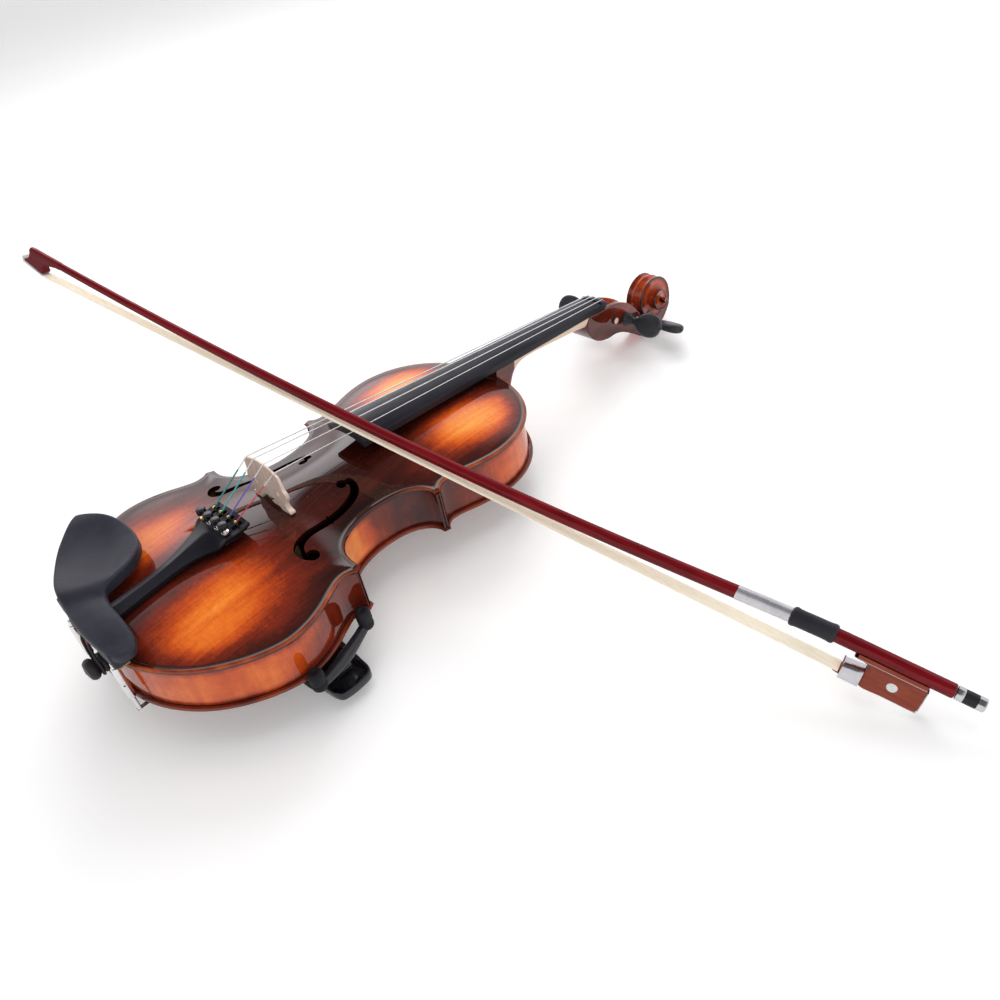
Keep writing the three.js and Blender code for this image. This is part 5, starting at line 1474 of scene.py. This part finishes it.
def rest_plate_mesh():
    """Long plate with a raised rim and a round boss with a ring at each end."""
    loop = ccw(smooth_loop(PLATE, 8, 1.8))
    plan, tris = plan_mesh(loop, (), (0.1, 0.4, 1.0, 1.7, 2.2, 2.6, 3.1), 3.5)
    gap = distance(loop, plan)
    top = np.interp(gap, [0, 0.1, 0.4, 1.0, 1.7, 2.2, 2.6, 3.1, 8],
                    [-54.6, -54.1, -53.4, -53.0, -53.1, -53.6, -55.6, -56.3, -56.4])
    for side in (1, -1):
        reach = np.hypot(plan[:, 0] - FORK_X * side, plan[:, 1] - FORK_Y)
        boss = np.interp(reach, [0, 7.6, 8.6, 9.4], [-53.45, -53.5, -54.0, -56.4])
        top = np.where(reach < 9.4, np.maximum(top, boss), top)
        top += 0.35 * np.exp(-((reach - 11.6) / 0.6) ** 2) * (gap > 3.2)
    low = np.interp(gap, [0, 0.1, 0.4, 1.0], [-57.4, -58.2, -59.0, -59.4])
    return shell(plan, tris, top, low)[:2]


make("rest_plate", rest_plate_mesh(), M_REST, "black_gloss_plastic", "shoulder_rest_plate",
     frame=REST, angle=40, merge=False)

# treble fork, z from FORK_Z
FORK_BARREL = [(0.01, -6.4), (3.9, -6.4), (4.4, -5.8), (4.4, 5.8), (3.9, 6.4), (0.01, 6.4)]
FORK_BAR = [(114.4, 81, 13.0), (112.8, 91, 12.0), (109.8, 101, 11.0), (106.4, 111, 10.8),
            (102.6, 122, 11.6), (98.6, 133, 13.0)]
FORK_TONGUE = [(FORK_X, FORK_Y, 0), (104.8, 103.6, 3.8), (108.2, 104.6, 8.6)]
# ribbed rubber sleeve with a rounded head, and where the two stand
SLEEVE = [(0.01, 9.6), (3.6, 9.8), (5.0, 11.2), (5.2, 14.4), (4.7, 15.0), (4.7, 16.2), (5.2, 16.8),
          (5.3, 22.8), (4.3, 25.2), (2.2, 25.7), (1.5, 24.2), (0.01, 24.0)]
SLEEVE_PLACES = ((114.2, 82), (98.6, 133))


def fork_meshes():
    raised = (0, 0, FORK_Z)
    bar = catmull(np.array(FORK_BAR) + raised, 6)
    bar_radius = np.interp(np.linspace(0, 1, len(bar)), [0, 0.2, 0.5, 0.8, 1],
                           [3.4, 3.8, 4.8, 3.8, 3.4])
    fork = combine([
        rounded_turned(FORK_BARREL, (FORK_X, FORK_Y, FORK_Z), (0, 1, 0), 28, 0.5),
        tube(bar, bar_radius, 20, flat=0.55, facing=(0.75, 0.2, 0.7)),
        tube(catmull(np.array(FORK_TONGUE) + raised, 5), 4.4, 16, flat=0.6)])
    sleeves = combine([rounded_turned(SLEEVE, (x, y, FORK_Z), (0, 0, 1), 28, 0.8)
                       for x, y in SLEEVE_PLACES])
    return fork, sleeves


fork, sleeves = fork_meshes()
for side_name, side in SIDES:
    place = dict(frame=REST, body=f"fork_{side_name}_body", angle=50, merge=False)
    make(f"rest_fork_{side_name}", fork if side > 0 else mirror(fork), M_REST,
         "black_gloss_plastic", f"shoulder_rest_fork_{side_name}", **place)
    make(f"rest_sleeves_{side_name}", sleeves if side > 0 else mirror(sleeves), M_RUBBER,
         "rubber", **place)


# ------------------------------------------------------------------ bow materials
def stick_material():
    shader = Shader("bow_stick_wood", rough=0.4, coat=0.4, coat_rough=0.04, spec=0.0)
    grain = shader.noise(stretch=(18, 300, 300), detail=5, roughness=0.6)
    fine = shader.noise(stretch=(60, 1200, 1200), detail=3)
    blot = shader.noise(stretch=(7, 40, 40), detail=3)
    level = shader.weighted(grain, 0.6, fine, 0.4)
    wood = shader.ramp(level, [(0.32, (0.07, 0.003, 0.005)), (0.52, (0.19, 0.006, 0.010)),
                               (0.72, (0.31, 0.013, 0.016))])
    shader.color(shader.mix(shader.remap(blot, span=(0.35, 0.65), out=(0, 0.5)), wood,
                            (0.11, 0.004, 0.007)))
    shader.bump(level, strength=0.06)
    return shader.material


def frog_material():
    shader = Shader("frog_wood", rough=0.4, coat=0.5, coat_rough=0.05, spec=0.0)
    grain = shader.noise(stretch=(60, 400, 400), detail=5, roughness=0.6)
    blot = shader.noise(stretch=(30, 90, 90), detail=4)
    wood = shader.ramp(grain, [(0.3, (0.17, 0.026, 0.013)), (0.7, (0.36, 0.072, 0.034))])
    shader.color(shader.mix(shader.remap(blot, span=(0.3, 0.7)), wood, (0.26, 0.042, 0.020)))
    shader.bump(grain, strength=0.06)
    return shader.material


def pearl_material():
    shader = Shader("pearl", rough=0.22, coat=0.8)
    cloud = shader.noise(stretch=(260, 260, 260), detail=5, distortion=2.2)
    shader.color(shader.ramp(cloud, [(0.3, (0.55, 0.60, 0.60)), (0.45, (0.85, 0.80, 0.78)),
                                     (0.6, (0.62, 0.74, 0.72)), (0.75, (0.92, 0.86, 0.90))]))
    return shader.material


def hair_material():
    shader = Shader("horse_hair", rough=0.5)
    # painted light: a faint cream glow makes the hair brighter than its shading allows
    shader.glow((1.0, 0.90, 0.72), strength=0.16)
    fine = shader.noise(stretch=(1.2, 2600, 900), detail=2)
    wide = shader.noise(stretch=(3, 700, 300), detail=3)
    level = shader.weighted(fine, 0.6, wide, 0.4)
    shader.color(shader.ramp(level, [(0.33, (0.78, 0.68, 0.50)), (0.5, (0.92, 0.84, 0.68)),
                                     (0.68, (0.97, 0.92, 0.80))]))
    shader.bump(level, strength=0.35)
    return shader.material


M_STICK, M_FROG, M_PEARL = stick_material(), frog_material(), pearl_material()
M_SILVER = metal_material("silver", color=(0.60, 0.60, 0.62), rough=0.2, brushed=(900, 60, 60))
M_LAP = metal_material("silver_wire", color=(0.70, 0.70, 0.73), rough=0.3, brushed=(400, 60, 60))
M_GRIP = black_material("grip_leather", base=(0.016, 0.016, 0.021), rough=0.44,
                        grain=(1500, 1500, 1500), bump=0.5, distance=0.0003)

# ------------------------------------------------------------------ bow stick and tip
BOW_LENGTH, BOW_CAMBER, HAIR_DROP = 745.0, 12.4, 19.0


def bow_part(name, mesh, material, slot, replaces=None, body="bow_body", **options):
    return make(name, mesh, material, slot, replaces, frame=BOW, body=body, **options)


def camber(x):
    """Height of the stick's centre line."""
    u = np.maximum(0, (np.asarray(x, float) - 76) / (BOW_LENGTH - 76))
    return -4 * BOW_CAMBER * u * (1 - u) * (1 - np.exp(-u * 12))


def stick_radius(x):
    return np.interp(x, [17, 120, 300, 500, 700, BOW_LENGTH], [4.3, 4.2, 3.9, 3.4, 2.8, 2.65])


def bow_ring(x, radius, flats, count=32, height=None):
    """Eight flats with soft corners where flats is 1, round where it is 0."""
    turn = np.linspace(0, 2 * np.pi, count, endpoint=False)
    off_flat = (turn + np.pi / 8) % (np.pi / 4) - np.pi / 8
    octagon = np.minimum(1 / np.cos(off_flat), 1.052)
    reach = radius * ((1 - flats) * 1.01 + flats * octagon)
    middle = float(camber(x)) if height is None else height
    return np.c_[np.full(count, x), reach * np.cos(turn), middle + reach * np.sin(turn)]


stick_stations = np.r_[17.0, 17.3, 18, 30, 50, 70, 90, 108, 112, np.linspace(125, 700, 60),
                       708, 716, 724, 732, 738, 741]
# the first two rings are drawn in to soften the end
stick_drawn_in = np.r_[0.5, 0.2, np.zeros(len(stick_stations) - 2)]
stick = bow_part("stick", skin([bow_ring(x, stick_radius(x) - inset, 1.0)
                                for x, inset in zip(stick_stations, stick_drawn_in)]),
                 M_STICK, "bow_wood", "bow_stick", angle=24, merge=False)
# bore for the screw, then the slot for the eyelet
cut(stick, turned([(1.9, 10), (1.9, 66)], (0, 0, 0), (1, 0, 0), 20), frame=BOW)
cut(stick, box((36, 57), (-2.5, 2.5), (-8, 2.6)), frame=BOW)

# side outlines of the head and its plate as (x, z)
BOW_HEAD = [(708, -0.9), (716, 0.4), (728, 1.4), (738, 2.3), (741.4, 1.6), (742.0, -2.4),
            (743.2, -6.0), (746.8, -8.2), (748.2, -9.2), (738, -11.9), (727.7, -14.4),
            (726.0, -12.8), (727.0, -9.6), (725.2, -7.4), (720.5, -6.0), (712, -4.6), (708, -4.4)]
TIP_PLATE = [(750.6, -7.2), (749.6, -10.4), (738.5, -13.5), (727.3, -16.2), (725.5, -15.0),
             (727.4, -15.05), (738.6, -12.4), (748.3, -9.7), (749.8, -7.0)]
head = slab(smooth_loop(BOW_HEAD, 6, 0.8),
            lambda p: np.interp(p[:, 1], [-15, -11, -5, 0, 3], [4.0, 3.6, 2.9, 2.4, 1.6]),
            rim=0.9, grid=1.6)
bow_part("bow_head", stand(head), M_STICK, "bow_wood", angle=50, merge=False)
tip = slab(resample(TIP_PLATE, 0.5, closed=True),
           lambda p: np.interp(p[:, 0], [725, 727, 748, 751], [3.2, 4.1, 4.1, 2.2]),
           rim=0.18, grid=0.8)
bow_part("tip_plate", stand(tip), M_PEARL, "nickel_silver", "bow_tip_plate", angle=40,
         merge=False)


# ------------------------------------------------------------------ hair, lapping, grip
def hair_mesh():
    """A flat ribbon, ridged across its width."""
    count = 49
    across = np.linspace(1, -1, count)
    ridge = 0.10 * rng.standard_normal(count)
    thick = 0.42 * np.sqrt(np.maximum(0.04, 1 - across ** 4))
    rings = []
    for x in np.r_[74.5, 76, np.linspace(90, 715, 42), 724, 727.2]:
        places = [74.5, 400, 728.5]
        width = np.interp(x, places, [5.5, 4.9, 4.5])
        z = np.interp(x, places, [-HAIR_DROP, -HAIR_DROP + 1.2, -HAIR_DROP + 3.1])
        wave = 0.06 * np.sin(x * 0.021 + across * 9)
        top = np.c_[np.full(count, x), across * width, z + thick + ridge + wave]
        low = np.c_[np.full(count, x), across * width, z - thick + ridge * 0.8 + wave]
        rings.append(np.vstack([top, low[::-1]]))
    return skin(rings)


hair = bow_part("hair_ribbon", hair_mesh(), hair_material(), "horsehair", "bow_hair", angle=60,
                merge=False, ride=False)
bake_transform(hair)

# lapping: one fine wire wound round the stick over a thin sleeve
turn = np.arange(0, 40.5 * 2 * np.pi, 2 * np.pi / 20)
wire_x = 110.9 + (143.1 - 110.9) * turn / turn[-1]
wire_reach = stick_radius(wire_x) + 0.2
wire = np.c_[wire_x, wire_reach * np.cos(turn), camber(wire_x) + wire_reach * np.sin(turn)]
sleeve = skin([bow_ring(x, stick_radius(x) + 0.2, 0)
               for x in (110.6, 111.2, 120, 130, 142.8, 143.4)])
bow_part("lapping_wire", combine([tube(wire, 0.32, 6, facing=(1, 0, 0)), sleeve]), M_LAP,
         "nickel_silver", "bow_lapping", angle=70, merge=False)
# x, thickness over the stick
GRIP = [(83.8, 0.35), (84.0, 0.8), (84.6, 1.25), (85.6, 1.55), (86.8, 1.45), (88.2, 1.25),
        (97, 1.2), (106.4, 1.25), (107.6, 1.5), (108.7, 1.6), (109.6, 1.3), (110.2, 0.85),
        (110.35, 0.35)]
bow_part("grip_roll", skin([bow_ring(x, stick_radius(x) + thick, 0.25, 40)
                            for x, thick in catmull(GRIP, 3)]),
         M_GRIP, "black_composite", "bow_grip", angle=50, merge=False)

# ------------------------------------------------------------------ frog
ON_FROG = dict(body="bow_frog_body")
# side outline as (x, z)
FROG = [(28.9, -5.0), (28.3, -11), (28.3, -16), (28.9, -21.0), (30.4, -22.1), (46, -22.2),
        (61.5, -22.2), (61.6, -16), (61.5, -11.0), (60.0, -10.0), (59.6, -9.0), (60.4, -7.6),
        (62.4, -6.4), (66, -5.5), (70.6, -5.0)]
EYE_Z = -13.4


def frog_half(points):
    """Half thickness, hollowed along the sides at the eyes' height."""
    return 4.85 - (0.55 * np.exp(-((points[:, 1] - EYE_Z) / 4.5) ** 2)
                   * np.clip((points[:, 0] - 27) / 10, 0, 1))


frog = slab(resample(catmull(FROG, 4), 0.8, closed=True), frog_half, rim=0.8, grid=1.5)
bow_part("frog_block", stand(frog), M_FROG, "frog_wood", "bow_frog", angle=50, merge=False,
         **ON_FROG)
EYE = [(0.01, 4.0), (3.1, 4.0), (3.1, 4.55), (2.6, 4.75), (0.01, 4.85)]
bow_part("frog_eyes", combine([rounded_turned(EYE, (45.5, 0, EYE_Z), (0, side, 0), 36, 0.3)
                               for side in (1, -1)]),
         M_PEARL, "nickel_silver", angle=50, **ON_FROG)
bow_part("frog_slide", box((28.6, 61.4), (-4.6, 4.6), (-22.55, -22.15)), M_PEARL,
         "nickel_silver", angle=40, **ON_FROG)
bow_part("frog_silver", combine([box((29.2, 70.2), (-4.95, 4.95), (-5.0, -4.62)),
                                 box((27.9, 28.5), (-4.4, 4.4), (-13.2, -6)),
                                 box((27.9, 28.6), (-4.4, 4.4), (-20.8, -14))]),
         M_SILVER, "nickel_silver", angle=40, bevel=0.12, **ON_FROG)
# the frog's upper edges come up round the lower flats of the stick; section as (y, z)
CHANNEL = np.array([(4.86, -5.3), (4.86, -2.3), (4.62, -2.0), (4.44, -2.1), (2.1, -4.55),
                    (2.1, -5.3)])
bow_part("frog_channel", combine([prism(CHANNEL * (side, 1), 29.3, 68.5, along_x=True)
                                  for side in (1, -1)]),
         M_FROG, "frog_wood", angle=40, bevel=0.12, **ON_FROG)


def ferrule_ring(x, scale):
    """D-shaped section, flat on the hair side."""
    top = -11.6 - 0.10 * (x - 61.8)
    turn = np.linspace(0, np.pi, 26)
    across = np.sign(np.cos(turn)) * np.abs(np.cos(turn)) ** 0.6
    arch = np.c_[np.full(26, x), 6.3 * scale * across,
                 -21.8 + (top + 21.8) * np.sin(turn) ** 0.7 * scale]
    return np.vstack([arch, [(x, -6.1 * scale, -22.4), (x, 6.1 * scale, -22.4)]])


bow_part("ferrule_sleeve", skin([ferrule_ring(x, scale) for x, scale in (
    (61.8, 0.985), (62.0, 1), (66, 1), (70, 1), (73.3, 1), (73.6, 0.985))]),
         M_SILVER, "nickel_silver", "bow_ferrule", angle=40, bevel=0.15, merge=False, **ON_FROG)
wedge = skin([[(x, 5.3, low), (x, -5.3, low), (x, -5.3, -19.6), (x, 5.3, -19.6)]
              for x, low in ((73.4, -20.6), (77.5, -19.9))])
bow_part("ferrule_wedge", combine([box((73.55, 74.2), (-5.4, 5.4), (-18.0, -14.0)), wedge]),
         M_FROG, "frog_wood", angle=30, bevel=0.1, **ON_FROG)
EYELET = [(1.55, 44.2), (1.95, 44.2), (1.95, 49.3), (1.55, 49.3)]
bow_part("eyelet_nut", combine([box((44.1, 49.4), (-1.85, 1.85), (-4.7, -1.7)),
                                rounded_turned(EYELET, (0, 0, 0), (1, 0, 0), 24, 0.1)]),
         M_BRASS, "brass", "bow_eyelet", angle=40, **ON_FROG)

# ------------------------------------------------------------------ bow button and screw
ON_SCREW = dict(body="bow_screw_body")
# octagonal collars: x, radius
END_COLLAR = [(0.4, 3.4), (0.8, 3.9), (1.2, 4.1), (4.6, 4.1), (5.0, 3.95), (5.15, 3.7)]
INNER_COLLAR = [(12.2, 3.7), (12.35, 3.95), (12.7, 4.1), (15.9, 4.15), (16.3, 4.05), (16.45, 3.7)]
MIDDLE = [(4.9, 3.7), (5.2, 3.95), (8.6, 4.0), (12.1, 3.95), (12.4, 3.7)]
SCREW = ([(1.25, 16.2)] + [(1.25 - 0.14 * (i % 2), 18 + 0.45 * i) for i in range(97)]
         + [(1.0, 62)])


def collar(stations):
    return skin([bow_ring(x, radius, 1.0, 48, height=0.0) for x, radius in stations])


bow_part("button_silver", combine([collar(END_COLLAR), collar(INNER_COLLAR),
                                   turned(SCREW, (0, 0, 0), (1, 0, 0), 18)]),
         M_SILVER, "nickel_silver", "bow_screw", angle=26, merge=False, **ON_SCREW)
bow_part("button_ebony", collar(MIDDLE), M_EBONY, "ebonised_wood", angle=26, merge=False,
         **ON_SCREW)
BUTTON_EYE = [(0.01, -0.05), (1.9, 0.0), (2.1, 0.3), (2.1, 0.6), (0.01, 0.6)]
bow_part("button_eye", rounded_turned(BUTTON_EYE, (0, 0, 0), (1, 0, 0), 28, 0.2), M_PEARL,
         "nickel_silver", angle=40, **ON_SCREW)


# ------------------------------------------------------------------ floor (metres from here on)
def floor_material():
    shader = Shader("floor", rough=0.55, spec=0.3)
    blot = shader.noise(stretch=(3, 3, 3), detail=3)
    shader.color(shader.mix(shader.remap(blot, span=(0.3, 0.7)), (0.86, 0.86, 0.865),
                            (0.9, 0.9, 0.9)))
    shader.glow((1.0, 1.0, 1.0), strength=0.20)
    shader.bump(shader.noise(stretch=(260, 260, 260), detail=3), strength=0.02, distance=0.0003)
    return shader.material


FLOOR_HALF = 9
floor_mesh = bpy.data.meshes.new("floor")
floor_mesh.from_pydata([(x * FLOOR_HALF, y * FLOOR_HALF, 0)
                        for x, y in ((-1, -1), (1, -1), (1, 1), (-1, 1))], [], [(0, 1, 2, 3)])
floor_mesh.materials.append(floor_material())
floor = bpy.data.objects.new("floor", floor_mesh)
floor.location = (0, 0, -0.0004)
bpy.context.scene.collection.objects.link(floor)

# ------------------------------------------------------------------ world
WORLD_LIGHT = 0.5   # even light on the surfaces
ROOM = 0.14         # dim room seen in reflections
# one round soft light in reflections: full inside the inner angle, gone outside the outer (degrees)
WINDOW = dict(direction=(-0.765, 0.407, 0.50), inner=7, outer=20, strength=1.9)
# pale surround in reflections, and the span of direction z over which it fades out
BAND_STRENGTH, BAND_FADE = 0.90, (0.62, 0.78)


def soft_spot(sky, place, direction, inner, outer, strength):
    dot = sky.node("ShaderNodeVectorMath", operation="DOT_PRODUCT")
    sky.feed(place, dot.inputs[0])
    dot.inputs[1].default_value = Vector(direction).normalized()
    return sky.remap(dot.outputs["Value"], smooth=True, out=(0.0, strength),
                     span=(math.cos(math.radians(outer)), math.cos(math.radians(inner))))


def build_world():
    """Camera rays see white, reflections see the room, everything else an even light."""
    world = bpy.data.worlds.new("studio")
    bpy.context.scene.world = world
    world.use_nodes = True
    sky = Nodes(world.node_tree)

    def background(node, colour, strength):
        if colour:
            sky.feed(colour, node.inputs["Color"])
        sky.feed(strength, node.inputs["Strength"])
        return node.outputs[0]

    def choose(factor, first, second):
        node = sky.node("ShaderNodeMixShader")
        for i, socket in enumerate((factor, first, second)):
            sky.feed(socket, node.inputs[i])
        return node.outputs[0]

    even = background(sky.tree.nodes["Background"], (1.0, 1.0, 1.0), WORLD_LIGHT)
    place = sky.node("ShaderNodeTexCoord").outputs["Generated"]
    ray = sky.node("ShaderNodeLightPath").outputs
    window = soft_spot(sky, place, **WINDOW)
    split = sky.node("ShaderNodeSeparateXYZ")
    sky.feed(place, split.inputs[0])
    band = sky.remap(split.outputs["Z"], span=BAND_FADE, out=(BAND_STRENGTH, 0.0), smooth=True)
    glow = sky.add(sky.add(window, band), ROOM)
    room = background(sky.node("ShaderNodeBackground"), (1.0, 0.97, 1.0), glow)
    # the node's own default colour is what the camera sees
    backdrop = background(sky.node("ShaderNodeBackground"), None, 1.0)
    lit = choose(ray["Is Glossy Ray"], even, room)
    seen = choose(ray["Is Camera Ray"], lit, backdrop)
    sky.feed(seen, sky.tree.nodes["World Output"].inputs["Surface"])


build_world()


# ------------------------------------------------------------------ lights and camera
def area(name, place, aim, size, power, color=(1, 1, 1)):
    """Square soft light, hidden from reflections."""
    light = bpy.data.lights.new(name, "AREA")
    light.energy = power
    light.color = color
    light.shape = "RECTANGLE"
    light.size = size
    light.size_y = size
    lamp = bpy.data.objects.new(name, light)
    bpy.context.scene.collection.objects.link(lamp)
    lamp.location = place
    lamp.rotation_mode = "QUATERNION"
    lamp.rotation_quaternion = (Vector(aim) - Vector(place)).to_track_quat("-Z", "Y")
    lamp.visible_glossy = False


area("key_soft", place=(-0.95, 1.15, 1.35), aim=(0.0, 0.1, 0.05), size=1.1, power=17,
     color=(1.0, 0.985, 1.0))
area("top_soft", place=(0.1, 0.3, 2.0), aim=(0.05, 0.1, 0.0), size=1.5, power=11)
area("side_soft", place=(1.3, -0.5, 1.0), aim=(0.1, 0.1, 0.05), size=0.9, power=4,
     color=(1.0, 0.99, 0.97))

lens = bpy.data.cameras.new("camera")
lens.sensor_width = 36.0
lens.lens = 34.1458
lens.clip_start = 0.02
lens.clip_end = 60
camera = bpy.data.objects.new("camera", lens)
bpy.context.scene.collection.objects.link(camera)
camera.matrix_world = Matrix(((0.70415098, -0.35395481, 0.61553830, 0.51418959),
                              (0.68855159, 0.55209057, -0.47020497, -0.15734531),
                              (-0.17340158, 0.75492516, 0.63247126, 0.47004942),
                              (0, 0, 0, 1)))
bpy.context.scene.camera = camera
bpy.context.scene.view_settings.view_transform = "Standard"
bpy.context.scene.render.film_transparent = False
